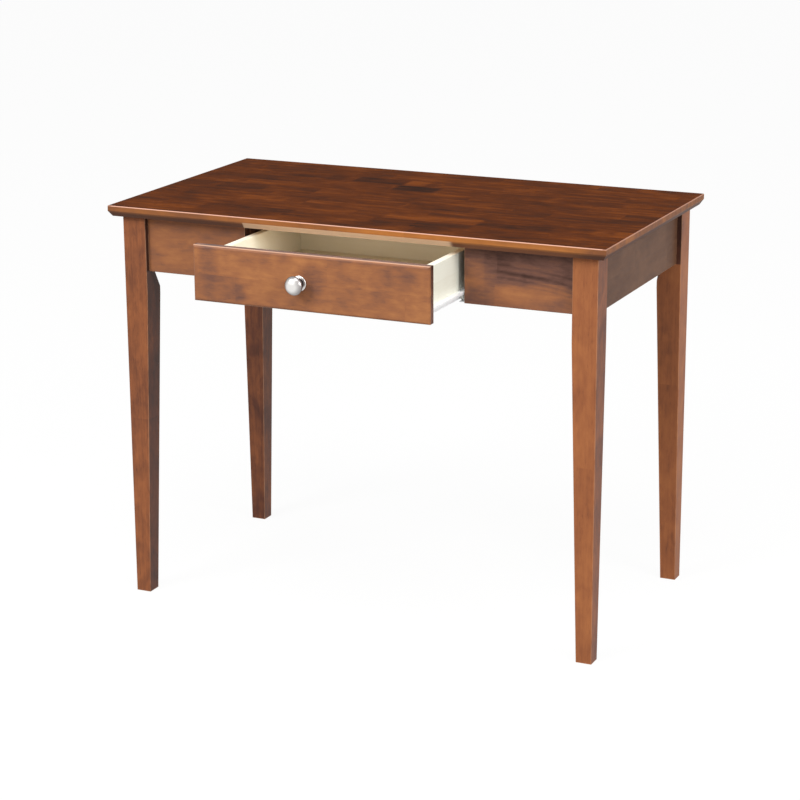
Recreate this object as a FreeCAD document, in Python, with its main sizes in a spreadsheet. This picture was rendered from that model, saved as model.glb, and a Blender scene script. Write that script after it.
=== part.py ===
import FreeCAD, Part
import math
import os
import Sketcher
from FreeCAD import Placement, Rotation, Vector

# Driving sizes in millimetres; each cell of the sheet has its name as alias
SIZES = {
    "top_width": 914,
    "top_depth": 508,
    "desk_height": 711,
    "top_thickness": 19,
    "top_bevel_drop": 10,
    "top_bevel_setback": 6.5,
    "top_arris": 1.5,
    "overhang": 19,
    "leg_size": 44,
    "foot_size": 28,
    "leg_ease": 1.5,
    "taper_drop": 45,
    "flat_below": 4,
    "flat_runout": 29,
    "apron_height": 98,
    "apron_thickness": 19,
    "apron_reveal": 9,
    "board_ease": 1.5,
    "rail_thickness": 19,
    "block_wing": 35,
    "block_height": 60,
    "bolt_diameter": 8,
    "bolt_depth": 34,
    "bolt_tail": 5,
    "washer_diameter": 20,
    "washer_thickness": 1.6,
    "nut_diameter": 15,
    "nut_height": 6.5,
    "wood_screw_diameter": 4,
    "wood_screw_head_diameter": 8,
    "wood_screw_head_height": 2.6,
    "screw_reach": 12,
    "wing_screw_inset": 13,
    "wing_screw_seat": 5.5,
    "wing_screw_end": 14,
    "top_screw_along": 8,
    "top_screw_off": 8,
    "top_screw_seat": 22,
    "dowel_diameter": 8,
    "dowel_in_apron": 12,
    "dowel_in_rail": 20,
    "dowel_inset": 24,
    "fit_clearance": 0.1,
    "hole_end": 1,
    "drawer_open": 145.5,
    "drawer_opening": 406,
    "drawer_back_space": 115.5,
    "front_overlap": 9.5,
    "front_thickness": 16,
    "front_drop": 3,
    "front_rise": 1,
    "front_gap": 0.5,
    "front_round": 4,
    "box_thickness": 12,
    "box_rise": 5,
    "box_top_drop": 12,
    "box_ease": 1,
    "bottom_thickness": 5,
    "bottom_rise": 15,
    "groove_depth": 6,
    "panel_play": 0.3,
    "box_dowel_diameter": 6,
    "box_dowel_in_side": 8,
    "box_dowel_in_end": 16,
    "box_dowel_inset": 14,
    "front_screw_spread": 130,
    "front_screw_inset": 16,
    "front_screw_reach": 10,
    "knob_left": 17,
    "knob_head_diameter": 32,
    "knob_base_diameter": 26,
    "knob_waist_diameter": 11,
    "knob_base_thickness": 2.5,
    "knob_neck": 10,
    "knob_flare": 6,
    "knob_rim": 2,
    "knob_dome": 8.5,
    "knob_screw_diameter": 4,
    "knob_screw_head_diameter": 8,
    "knob_screw_head_height": 2.6,
    "knob_screw_reach": 10,
    "slide_clearance": 12.5,
    "slide_gauge": 1.2,
    "slide_setback": 3,
    "slide_tail": 18,
    "slide_side_gap": 0.9,
    "runner_support": 11,
    "runner_rise": 13,
    "runner_lip": 3.8,
    "channel_play": 0.8,
    "channel_notch": 24,
    "roller_diameter": 15,
    "roller_width": 5.8,
    "roller_play": 0.3,
    "roller_offset": 1.2,
    "roller_inset": 10,
    "roller_bevel": 0.8,
    "axle_diameter": 5,
    "axle_shoulder_diameter": 6,
    "axle_head_height": 0.6,
    "axle_side_play": 0.2,
    "axle_play": 0.05,
    "slide_screw_diameter": 3.5,
    "slide_screw_head_diameter": 7,
    "slide_screw_head_height": 1.8,
    "slide_screw_inset": 40,
    "rail_screw_reach": 14,
    "runner_screw_reach": 9,
}

doc = FreeCAD.newDocument("writing_desk")
sheet = doc.addObject("Spreadsheet::Sheet", "sizes")
for row, (alias, number) in enumerate(SIZES.items(), 1):
    sheet.set(f"A{row}", alias)
    sheet.set(f"B{row}", str(number))
    sheet.setAlias(f"B{row}", alias)
doc.recompute()

# Places and lengths that follow from the sizes, as formulas
FRAME_X = "(sizes.top_width / 2 - sizes.overhang)"
FRAME_Y = "(sizes.top_depth / 2 - sizes.overhang)"
LEG_IN_X = f"({FRAME_X} - sizes.leg_size)"
LEG_IN_Y = f"({FRAME_Y} - sizes.leg_size)"
FACE_X = f"({FRAME_X} - sizes.apron_reveal)"
FACE_Y = f"({FRAME_Y} - sizes.apron_reveal)"
INNER_X = f"({FACE_X} - sizes.apron_thickness)"
INNER_Y = f"({FACE_Y} - sizes.apron_thickness)"
APRON_TOP = "(sizes.desk_height - sizes.top_thickness)"
APRON_LOW = f"({APRON_TOP} - sizes.apron_height)"
FLAT_CUT = "(sizes.leg_size - sizes.apron_reveal - sizes.apron_thickness)"
BLOCK_LOW = f"({APRON_TOP} - sizes.block_height)"
OPENING = "(sizes.drawer_opening / 2)"

FRONT_BACK = f"(-({FACE_Y}) - sizes.front_gap - sizes.drawer_open)"
FRONT_LOW = f"({APRON_LOW} + sizes.front_rise)"
FRONT_HEIGHT = "(sizes.apron_height - sizes.front_drop - sizes.front_rise)"
BOX_HALF = f"({OPENING} - sizes.slide_clearance)"
BOX_IN = f"({BOX_HALF} - sizes.box_thickness)"
BOX_LOW = f"({FRONT_LOW} + sizes.box_rise)"
BOX_HEIGHT = f"({FRONT_HEIGHT} - sizes.box_rise - sizes.box_top_drop)"
BOX_LENGTH = f"({FACE_Y} + sizes.front_gap + {INNER_Y} - sizes.drawer_back_space)"
BOX_END = f"({FRONT_BACK} + {BOX_LENGTH})"
BOX_FRONT_IN = f"({FRONT_BACK} + sizes.box_thickness)"
GROOVE_TOP = "(sizes.bottom_rise + sizes.bottom_thickness + sizes.panel_play)"
KNOB_Z = f"({FRONT_LOW} + {FRONT_HEIGHT} / 2)"

SLIDE_LENGTH = f"({BOX_LENGTH} - sizes.slide_tail)"
CHANNEL_FRONT = f"(-({FACE_Y}) + sizes.slide_setback)"
RUNNER_FRONT = f"({FRONT_BACK} + sizes.slide_setback)"
FLANGE_LOW = f"({BOX_LOW} + sizes.runner_rise - sizes.slide_gauge)"
ROLLER_Z = f"({FLANGE_LOW} - sizes.roller_play - sizes.roller_diameter / 2)"
CHANNEL_LOW = f"({ROLLER_Z} - sizes.roller_diameter / 2 - sizes.roller_play - sizes.slide_gauge)"
CHANNEL_HEIGHT = f"({BOX_LOW} + sizes.runner_rise + sizes.channel_play + sizes.slide_gauge - {CHANNEL_LOW})"
FLANGE_REACH = "(sizes.slide_clearance - sizes.slide_gauge - sizes.slide_side_gap)"
CHANNEL_WEB = f"({OPENING} - sizes.slide_gauge)"
RUNNER_WEB = f"({BOX_HALF} + sizes.slide_gauge)"
ROLLER_IN = f"({RUNNER_WEB} + sizes.roller_offset)"
ROLLER_OUT = f"({ROLLER_IN} + sizes.roller_width)"
FRONT_ROLLER_Y = f"({CHANNEL_FRONT} + sizes.roller_inset)"
REAR_ROLLER_Y = f"({RUNNER_FRONT} + {SLIDE_LENGTH} - sizes.roller_inset)"

# Corners of the frame: name, signs of x and y, turn about the vertical
CORNERS = (
    ("front_left", -1, -1, 0),
    ("front_right", 1, -1, 90),
    ("back_right", 1, 1, 180),
    ("back_left", -1, 1, 270),
)
SIDES = (("left", -1), ("right", 1))
UPRIGHT = Vector(0, 0, 1)
pieces = []


def value(alias):
    """Read one size from the sheet."""
    return float(sheet.get(alias))


def bind(thing, formulas):
    """Tie properties of an object to formulas."""
    for path, formula in formulas.items():
        thing.setExpression(path, formula)


def place(thing, x, y, z, rotation=Rotation()):
    """Turn an object and tie its position to three formulas."""
    thing.Placement = Placement(Vector(), rotation)
    bind(thing, {"Placement.Base.x": x, "Placement.Base.y": y, "Placement.Base.z": z})


def piece(thing, label):
    """Name an object as a sub-part of the desk."""
    thing.Label = label
    pieces.append(thing)
    return thing


def new_body():
    """Start an empty body."""
    return doc.addObject("PartDesign::Body", "Body")


def new_sketch(body, role):
    """Start a sketch on one of the body's own origin planes."""
    plane = next(item for item in body.Origin.OriginFeatures if item.Role == role)
    sketch = body.newObject("Sketcher::SketchObject", "Sketch")
    sketch.AttachmentSupport = [(plane, "")]
    sketch.MapMode = "FlatFace"
    return sketch


def fix_point(sketch, geometry, position, x, y, start):
    """Tie a sketch point to two formulas; a plain 0 puts it on the axis."""
    for kind, axis, formula, first in (("DistanceX", -2, x, start.x), ("DistanceY", -1, y, start.y)):
        if formula == 0:
            sketch.addConstraint(Sketcher.Constraint("PointOnObject", geometry, position, axis))
        else:
            index = sketch.addConstraint(Sketcher.Constraint(kind, -1, 1, geometry, position, first))
            sketch.setExpression(f"Constraints[{index}]", formula)


def outline(sketch, points):
    """Draw a closed outline through points given by formulas."""
    first = sketch.GeometryCount
    count = len(points)
    turns = [2 * math.pi * index / count for index in range(count)]
    starts = [Vector(200 + 100 * math.cos(turn), 200 + 100 * math.sin(turn), 0) for turn in turns]
    for index in range(count):
        sketch.addGeometry(Part.LineSegment(starts[index], starts[(index + 1) % count]))
    for index in range(count):
        following = first + (index + 1) % count
        sketch.addConstraint(Sketcher.Constraint("Coincident", first + index, 2, following, 1))
    for index, (x, y) in enumerate(points):
        fix_point(sketch, first + index, 1, x, y, starts[index])
    return sketch


def pad(body, sketch, length, reverse=False):
    """Raise a sketch into a solid."""
    feature = body.newObject("PartDesign::Pad", "Pad")
    feature.Profile = sketch
    feature.Reversed = reverse
    feature.setExpression("Length", length)
    return feature


def pocket(body, sketch, reverse=False, both_ways=None):
    """Cut a sketch through the solid, or both ways by a given length in all."""
    feature = body.newObject("PartDesign::Pocket", "Pocket")
    feature.Profile = sketch
    feature.Reversed = reverse
    if both_ways is None:
        feature.Type = "ThroughAll"
    else:
        feature.SideType = "Symmetric"
        feature.setExpression("Length", both_ways)
    return feature


def lies_at(edge, axis, number):
    """Tell whether all of an edge lies at one coordinate."""
    return all(abs(getattr(vertex.Point, axis) - number) < 1e-4 for vertex in edge.Vertexes)


def ease(body, radius, chosen):
    """Round the edges of a body that a test picks."""
    doc.recompute()
    base = body.Tip
    box = base.Shape.BoundBox
    edges = [f"Edge{index}" for index, edge in enumerate(base.Shape.Edges, 1) if chosen(edge, box)]
    feature = body.newObject("PartDesign::Fillet", "Fillet")
    feature.Base = (base, edges)
    feature.setExpression("Radius", radius)
    return feature


def board(width, depth, height, x, y, z):
    """Make a plain board from its size and its low corner."""
    body = new_body()
    sketch = outline(new_sketch(body, "XY_Plane"), ((0, 0), (width, 0), (width, depth), (0, depth)))
    pad(body, sketch, height)
    place(body, x, y, z)
    return body


def drilled(blank, *hole_groups):
    """Cut groups of holes out of a blank."""
    result = blank
    for holes in hole_groups:
        cut = doc.addObject("Part::Cut", "Cut")
        cut.Base = result
        cut.Tool = holes
        result = cut
    return result


def rod(radius, length, seat, toward):
    """Make a cylinder from a seat point toward a direction."""
    cylinder = doc.addObject("Part::Cylinder", "Rod")
    bind(cylinder, {"Radius": radius, "Height": length})
    place(cylinder, *seat, Rotation(UPRIGHT, toward))
    return cylinder


def group(things):
    """Gather separate solids into one object."""
    compound = doc.addObject("Part::Compound", "Group")
    compound.Links = things
    return compound


def joined(things):
    """Fuse solids that meet; those apart stay separate solids."""
    fusion = doc.addObject("Part::MultiFuse", "Joined")
    fusion.Shapes = things
    return fusion


def screws(name, spots, bore=None):
    """Make matching screws and their holes.

    name is the family of sizes; each spot holds the seat of a head, the
    direction of the shank and its length; bore is the depth of the recess
    over the heads.
    """
    shank = f"sizes.{name}_diameter / 2"
    head = f"sizes.{name}_head_diameter / 2"
    solids = []
    holes = []
    for seat, toward, length in spots:
        solids.append(rod(shank, length, seat, toward))
        solids.append(rod(head, f"sizes.{name}_head_height", seat, toward * -1))
        holes.append(rod(f"{shank} + sizes.fit_clearance", f"{length} + sizes.hole_end", seat, toward))
        if bore:
            holes.append(rod(f"{head} + sizes.hole_end", bore, seat, toward * -1))
    return joined(solids), joined(holes) if bore else group(holes)


# Desktop: bevelled below on all four edges
def make_desktop():
    """Make the desktop board with its bevels and softened upper edges."""
    body = new_body()
    setback, drop = "sizes.top_bevel_setback", "sizes.top_bevel_drop"
    width, depth, thick = "sizes.top_width", "sizes.top_depth", "sizes.top_thickness"
    section = outline(new_sketch(body, "XZ_Plane"), (
        (setback, 0), (f"{width} - {setback}", 0), (width, drop), (width, thick), (0, thick), (0, drop)))
    pad(body, section, depth, reverse=True)
    bevels = new_sketch(body, "YZ_Plane")
    outline(bevels, ((0, 0), (setback, 0), (0, drop)))
    outline(bevels, ((f"{depth} - {setback}", 0), (depth, 0), (depth, drop)))
    pocket(body, bevels, reverse=True)

    def upper_edges(edge, box):
        upright = abs(edge.tangentAt(edge.FirstParameter).z) > 0.99
        return lies_at(edge, "z", box.ZMax) or upright

    ease(body, "sizes.top_arris", upper_edges)
    place(body, f"-{width} / 2", f"-{depth} / 2", APRON_TOP)
    return body


# Legs: outer faces upright, inner faces tapered, a flat across the inner top corner
def make_leg(sign_x, sign_y, turn):
    """Make one leg with its outer corner at the frame's corner."""
    body = new_body()
    size, foot = "sizes.leg_size", "sizes.foot_size"
    taper = f"({APRON_LOW} - sizes.taper_drop)"
    section = outline(new_sketch(body, "XZ_Plane"), (
        (0, 0), (foot, 0), (size, taper), (size, APRON_TOP), (0, APRON_TOP)))
    pad(body, section, size, reverse=True)
    wedge = outline(new_sketch(body, "YZ_Plane"), ((foot, 0), (size, 0), (size, taper)))
    pocket(body, wedge, reverse=True)
    flat = new_sketch(body, "XZ_Plane")
    flat.AttachmentOffset = Placement(Vector(), Rotation(Vector(0, 1, 0), 225))
    bind(flat, {"AttachmentOffset.Base.x": size, "AttachmentOffset.Base.z": f"-{size}"})
    depth = f"{FLAT_CUT} / sqrt(2)"
    flat_low = f"({APRON_LOW} - sizes.flat_below)"
    outline(flat, (
        (0, f"{flat_low} - sizes.flat_runout"), (depth, flat_low), (depth, APRON_TOP), (0, APRON_TOP)))
    pocket(body, flat, both_ways=f"2 * {size}")

    def outer_edges(edge, box):
        upright = abs(edge.tangentAt(edge.FirstParameter).z) > 0.9
        return upright and (lies_at(edge, "x", box.XMin) or lies_at(edge, "y", box.YMin))

    ease(body, "sizes.leg_ease", outer_edges)
    place(body, f"{sign_x} * {FRAME_X}", f"{sign_y} * {FRAME_Y}", "0", Rotation(UPRIGHT, turn))
    return body


# Aprons: plain boards with softened lower edges
def make_apron(width, depth, x, y):
    """Make one apron from its size and its low corner."""

    def low_edges(edge, box):
        return lies_at(edge, "z", box.ZMin) and edge.Length > max(box.XLength, box.YLength) - 1

    body = board(width, depth, "sizes.apron_height", x, y, APRON_LOW)
    ease(body, "sizes.board_ease", low_edges)
    return body


# Corner blocks, between two aprons and against the leg's flat
def make_block(sign_x, sign_y, turn):
    """Make one corner block at the inner corner of two aprons."""
    body = new_body()
    far = f"({FLAT_CUT} + sizes.block_wing)"
    sketch = outline(new_sketch(body, "XY_Plane"), ((FLAT_CUT, 0), (far, 0), (0, far), (0, FLAT_CUT)))
    pad(body, sketch, "sizes.block_height")
    place(body, f"{sign_x} * {INNER_X}", f"{sign_y} * {INNER_Y}", BLOCK_LOW, Rotation(UPRIGHT, turn))
    return body


def on_diagonal(sign_x, sign_y, distance):
    """Find the point at a distance from the aprons' inner corner toward the middle, at bolt height."""
    step = f"({distance}) / sqrt(2)"
    return (f"{sign_x} * ({INNER_X} - {step})", f"{sign_y} * ({INNER_Y} - {step})",
            f"{BLOCK_LOW} + sizes.block_height / 2")


# Fasteners of the frame, and the holes they need
bolts, bolt_holes, washer_discs, nut_prisms = [], [], [], []
wing_spots, top_spots = [], []
for _, sign_x, sign_y, _ in CORNERS:
    inward = Vector(-sign_x, -sign_y, 0)
    flat = f"{FLAT_CUT} / sqrt(2)"
    block_face = f"({flat} + sizes.block_wing / sqrt(2))"
    nut_seat = f"({block_face} + sizes.washer_thickness)"
    start = on_diagonal(sign_x, sign_y, f"{flat} - sizes.bolt_depth")
    length = f"{nut_seat} + sizes.nut_height + sizes.bolt_tail - {flat} + sizes.bolt_depth"
    bolts.append(rod("sizes.bolt_diameter / 2", length, start, inward))
    bolt_holes.append(rod("sizes.bolt_diameter / 2 + sizes.fit_clearance", length, start, inward))
    washer_discs.append(rod("sizes.washer_diameter / 2", "sizes.washer_thickness",
                            on_diagonal(sign_x, sign_y, block_face), inward))
    nut = doc.addObject("Part::Prism", "Nut")
    bind(nut, {"Circumradius": "sizes.nut_diameter / 2", "Height": "sizes.nut_height"})
    place(nut, *on_diagonal(sign_x, sign_y, nut_seat), Rotation(UPRIGHT, inward))
    nut_prisms.append(nut)
    wing = f"({FLAT_CUT} + sizes.block_wing - sizes.wing_screw_inset)"
    wing_x = f"{sign_x} * ({INNER_X} - {wing})"
    wing_y = f"{sign_y} * ({INNER_Y} - {wing})"
    seat_x = f"{sign_x} * ({INNER_X} - sizes.wing_screw_seat)"
    seat_y = f"{sign_y} * ({INNER_Y} - sizes.wing_screw_seat)"
    reach = "sizes.wing_screw_seat + sizes.screw_reach"
    for height in (f"{BLOCK_LOW} + sizes.wing_screw_end", f"{APRON_TOP} - sizes.wing_screw_end"):
        wing_spots.append(((wing_x, seat_y, height), Vector(0, sign_y, 0), reach))
        wing_spots.append(((seat_x, wing_y, height), Vector(sign_x, 0, 0), reach))
    top_x = f"{sign_x} * ({INNER_X} - {FLAT_CUT} - sizes.top_screw_along)"
    top_y = f"{sign_y} * ({INNER_Y} - sizes.top_screw_off)"
    top_seat = f"{BLOCK_LOW} + sizes.top_screw_seat"
    reach = "sizes.block_height - sizes.top_screw_seat + sizes.screw_reach"
    top_spots.append(((top_x, top_y, top_seat), UPRIGHT, reach))
bolt_holes = group(bolt_holes)
wing_screws, wing_holes = screws("wood_screw", wing_spots, bore="sizes.wing_screw_inset")
top_screws, top_holes = screws("wood_screw", top_spots, bore="sizes.top_screw_seat + sizes.hole_end")

dowels, dowel_holes = [], []
dowel_radius = "sizes.dowel_diameter / 2"
dowel_length = "sizes.dowel_in_apron + sizes.dowel_in_rail"
for _, sign in SIDES:
    x = f"{sign} * ({OPENING} + sizes.rail_thickness / 2)"
    for end in (-1, 1):
        toward = Vector(0, -end, 0)
        seat = f"{end} * ({INNER_Y} + sizes.dowel_in_apron)"
        hole_seat = f"{end} * ({INNER_Y} + sizes.dowel_in_apron + sizes.hole_end)"
        for height in (f"{APRON_LOW} + sizes.dowel_inset", f"{APRON_TOP} - sizes.dowel_inset"):
            dowels.append(rod(dowel_radius, dowel_length, (x, seat, height), toward))
            dowel_holes.append(rod(f"{dowel_radius} + sizes.fit_clearance",
                                   f"{dowel_length} + 2 * sizes.hole_end", (x, hole_seat, height), toward))
dowel_holes = group(dowel_holes)

# Frame pieces
piece(drilled(make_desktop(), top_holes), "desktop")
for name, sign_x, sign_y, turn in CORNERS:
    leg, block = make_leg(sign_x, sign_y, turn), make_block(sign_x, sign_y, turn)
    piece(drilled(leg, bolt_holes), f"leg_{name}")
    piece(drilled(block, bolt_holes, wing_holes, top_holes), f"corner_block_{name}")

thick = "sizes.apron_thickness"
for side, sign in SIDES:
    low_x = f"-{LEG_IN_X}" if sign < 0 else OPENING
    apron = make_apron(f"{LEG_IN_X} - {OPENING}", thick, low_x, f"-{FACE_Y}")
    piece(drilled(apron, wing_holes, dowel_holes), f"apron_front_{side}")
    low_x = f"-{FACE_X}" if sign < 0 else INNER_X
    apron = make_apron(thick, f"2 * {LEG_IN_Y}", low_x, f"-{LEG_IN_Y}")
    piece(drilled(apron, wing_holes), f"apron_{side}")
apron = make_apron(f"2 * {LEG_IN_X}", thick, f"-{LEG_IN_X}", INNER_Y)
piece(drilled(apron, wing_holes, dowel_holes), "apron_back")

piece(group(bolts), "hanger_bolts")
piece(drilled(group(washer_discs), bolt_holes), "bolt_washers")
piece(drilled(group(nut_prisms), bolt_holes), "bolt_nuts")
piece(wing_screws, "corner_block_screws")
piece(top_screws, "desktop_screws")
piece(group(dowels), "rail_dowels")

# Drawer box: fasteners and holes
def box_heights(inset):
    """Find the heights at an inset from the groove and from the upper edge of the box."""
    return f"{BOX_LOW} + {GROOVE_TOP} + {inset}", f"{BOX_LOW} + {BOX_HEIGHT} - {inset}"


box_dowels, box_dowel_holes, front_spots, runner_spots = [], [], [], []
dowel_radius = "sizes.box_dowel_diameter / 2"
dowel_length = "sizes.box_dowel_in_side + sizes.box_dowel_in_end"
slide_inset = "sizes.slide_screw_inset"
forward = Vector(0, -1, 0)
for _, sign in SIDES:
    toward = Vector(-sign, 0, 0)
    seat = f"{sign} * ({BOX_IN} + sizes.box_dowel_in_side)"
    hole_seat = f"{sign} * ({BOX_IN} + sizes.box_dowel_in_side + sizes.hole_end)"
    for y in (f"{FRONT_BACK} + sizes.box_thickness / 2", f"{BOX_END} - sizes.box_thickness / 2"):
        for height in box_heights("sizes.box_dowel_inset"):
            box_dowels.append(rod(dowel_radius, dowel_length, (seat, y, height), toward))
            box_dowel_holes.append(rod(f"{dowel_radius} + sizes.fit_clearance",
                                       f"{dowel_length} + 2 * sizes.hole_end",
                                       (hole_seat, y, height), toward))
    for height in box_heights("sizes.front_screw_inset"):
        front_spots.append(((f"{sign} * sizes.front_screw_spread", BOX_FRONT_IN, height), forward,
                            "sizes.box_thickness + sizes.front_screw_reach"))
    under_side = f"{sign} * ({BOX_HALF} - sizes.box_thickness / 2)"
    for y in (f"{RUNNER_FRONT} + {slide_inset}", f"{RUNNER_FRONT} + {SLIDE_LENGTH} - {slide_inset}"):
        runner_spots.append(((under_side, y, f"{BOX_LOW} - sizes.slide_gauge"), UPRIGHT,
                             "sizes.slide_gauge + sizes.runner_screw_reach"))
box_dowel_holes = group(box_dowel_holes)
front_screws, front_holes = screws("wood_screw", front_spots)
runner_screws, runner_holes = screws("slide_screw", runner_spots)
knob_spot = ("-sizes.knob_left", BOX_FRONT_IN, KNOB_Z)
knob_screw, knob_hole = screws("knob_screw", [
    (knob_spot, forward, "sizes.box_thickness + sizes.front_thickness + sizes.knob_screw_reach")])


# Drawer front: an overlay board with its front edges rounded
def make_drawer_front():
    """Make the drawer front."""
    width = "(sizes.drawer_opening + 2 * sizes.front_overlap)"
    body = board(width, "sizes.front_thickness", FRONT_HEIGHT,
                 f"-{width} / 2", f"{FRONT_BACK} - sizes.front_thickness", FRONT_LOW)
    ease(body, "sizes.front_round", lambda edge, box: lies_at(edge, "y", box.YMin))
    return body


def grooved(role, length, reverse):
    """Make a box board with a groove along the face at its low side."""
    body = new_body()
    thick, depth = "sizes.box_thickness", "sizes.groove_depth"
    low = "sizes.bottom_rise"
    sketch = outline(new_sketch(body, role), (
        (0, 0), (thick, 0), (thick, BOX_HEIGHT), (0, BOX_HEIGHT),
        (0, GROOVE_TOP), (depth, GROOVE_TOP), (depth, low), (0, low)))
    pad(body, sketch, length, reverse)
    ease(body, "sizes.box_ease", lambda edge, box: lies_at(edge, "z", box.ZMax) and edge.Length > 50)
    return body


piece(drilled(make_drawer_front(), front_holes, knob_hole), "drawer_front")
side = grooved("XZ_Plane", BOX_LENGTH, True)
place(side, BOX_IN, FRONT_BACK, BOX_LOW)
piece(drilled(side, box_dowel_holes, runner_holes), "drawer_side_right")
side = grooved("XZ_Plane", BOX_LENGTH, True)
place(side, f"-{BOX_IN}", BOX_END, BOX_LOW, Rotation(UPRIGHT, 180))
piece(drilled(side, box_dowel_holes, runner_holes), "drawer_side_left")
end = grooved("YZ_Plane", f"2 * {BOX_IN}", False)
place(end, f"-{BOX_IN}", f"{BOX_END} - sizes.box_thickness", BOX_LOW)
piece(drilled(end, box_dowel_holes), "drawer_back")
end = grooved("YZ_Plane", f"2 * {BOX_IN}", False)
place(end, BOX_IN, BOX_FRONT_IN, BOX_LOW, Rotation(UPRIGHT, 180))
piece(drilled(end, box_dowel_holes, front_holes, knob_hole), "drawer_box_front")
tongue = "(sizes.groove_depth - sizes.panel_play)"
piece(board(f"2 * ({BOX_IN} + {tongue})", f"{BOX_LENGTH} - 2 * sizes.box_thickness + 2 * {tongue}",
            "sizes.bottom_thickness", f"-({BOX_IN} + {tongue})", f"{BOX_FRONT_IN} - {tongue}",
            f"{BOX_LOW} + sizes.bottom_rise"), "drawer_bottom")
piece(group(box_dowels), "drawer_dowels")
piece(front_screws, "drawer_front_screws")
piece(knob_screw, "knob_screw")


# Knob: a base flange, a narrow waist and a domed head, turned about its axis
def make_knob():
    """Make the knob by turning its half outline."""
    body = new_body()
    sketch = new_sketch(body, "XY_Plane")
    base = ("sizes.knob_base_diameter / 2", value("knob_base_diameter") / 2)
    waist = ("sizes.knob_waist_diameter / 2", value("knob_waist_diameter") / 2)
    head = ("sizes.knob_head_diameter / 2", value("knob_head_diameter") / 2)
    hole = ("sizes.knob_screw_diameter / 2 + sizes.fit_clearance",
            value("knob_screw_diameter") / 2 + value("fit_clearance"))
    axis = (0, 0.0)
    ground = (0, 0.0)
    hole_top = ("sizes.knob_screw_reach + sizes.hole_end", value("knob_screw_reach") + value("hole_end"))
    levels = []
    formula, height = "0", 0.0
    for alias in ("knob_base_thickness", "knob_neck", "knob_flare", "knob_rim", "knob_dome"):
        formula = f"{formula} + sizes.{alias}"
        height += value(alias)
        levels.append((formula, height))
    base_top, neck_top, flare_top, rim_top, dome_top = levels

    def curve(first, last, middle_x):
        """Draw an arc about a middle with a given x; also tell whether it starts at the first point."""
        (ax, ay), (bx, by) = first, last
        rise = ((bx - middle_x) ** 2 + by ** 2 - (ax - middle_x) ** 2 - ay ** 2) / (2 * (by - ay))
        middle = Vector(middle_x, rise, 0)
        radius = math.hypot(ax - middle_x, ay - rise)
        ends = sorted((math.atan2(y - rise, x - middle_x) % (2 * math.pi), (x, y)) for x, y in (first, last))
        if ends[1][0] - ends[0][0] > math.pi:
            ends.reverse()
            ends[1] = (ends[1][0] + 2 * math.pi, ends[1][1])
        arc = Part.ArcOfCircle(Part.Circle(middle, UPRIGHT, radius), ends[0][0], ends[1][0])
        return arc, ends[0][1] == first

    corners = [(hole, ground), (base, ground), (base, base_top), (waist, neck_top), (head, flare_top),
               (head, rim_top), (axis, dome_top), (axis, hole_top), (hole, hole_top)]
    middles = {2: base, 3: head, 5: axis}
    points = [(x[1], y[1]) for x, y in corners]
    ends = []
    for index, point in enumerate(points):
        following = points[(index + 1) % len(points)]
        if index in middles:
            arc, forward = curve(point, following, middles[index][1])
            sketch.addGeometry(arc)
            ends.append((1, 2) if forward else (2, 1))
        else:
            sketch.addGeometry(Part.LineSegment(Vector(*point, 0), Vector(*following, 0)))
            ends.append((1, 2))
    for index in range(len(points)):
        following = (index + 1) % len(points)
        meeting = (index, ends[index][1], following, ends[following][0])
        sketch.addConstraint(Sketcher.Constraint("Coincident", *meeting))
    for index, (x, y) in enumerate(corners):
        fix_point(sketch, index, ends[index][0], x[0], y[0], Vector(*points[index], 0))
    for index, (formula, first) in middles.items():
        if formula == 0:
            sketch.addConstraint(Sketcher.Constraint("PointOnObject", index, 3, -2))
        else:
            added = sketch.addConstraint(Sketcher.Constraint("DistanceX", -1, 1, index, 3, first))
            sketch.setExpression(f"Constraints[{added}]", formula)
    turned = body.newObject("PartDesign::Revolution", "Revolution")
    turned.Profile = sketch
    turned.ReferenceAxis = (sketch, ["V_Axis"])
    turned.Angle = 360
    place(body, knob_spot[0], f"{FRONT_BACK} - sizes.front_thickness", KNOB_Z, Rotation(UPRIGHT, 180))
    return body


piece(make_knob(), "drawer_knob")


# Slides: folded steel strips, a channel on the desk and a runner on the drawer
def make_runner(sign):
    """Make the drawer's strip: a support under the side, a web and an outward flange with a lip."""
    body = new_body()
    gauge, lip = "sizes.slide_gauge", "sizes.runner_lip"
    web, rise = "sizes.runner_support", "sizes.runner_rise"
    reach = f"({web} + {FLANGE_REACH})"
    lip_low = f"{rise} - {lip}"
    sketch = outline(new_sketch(body, "XZ_Plane"), (
        (0, 0), (f"{web} + {gauge}", 0), (f"{web} + {gauge}", rise), (f"{reach} - {gauge}", rise),
        (f"{reach} - {gauge}", lip_low), (reach, lip_low), (reach, f"{rise} + {gauge}"),
        (web, f"{rise} + {gauge}"), (web, gauge), (0, gauge)))
    pad(body, sketch, SLIDE_LENGTH, reverse=True)
    y = RUNNER_FRONT if sign > 0 else f"{RUNNER_FRONT} + {SLIDE_LENGTH}"
    place(body, f"{sign} * ({BOX_HALF} - {web})", y, f"{BOX_LOW} - {gauge}",
          Rotation(UPRIGHT, 90 - 90 * sign))
    return body


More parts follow.
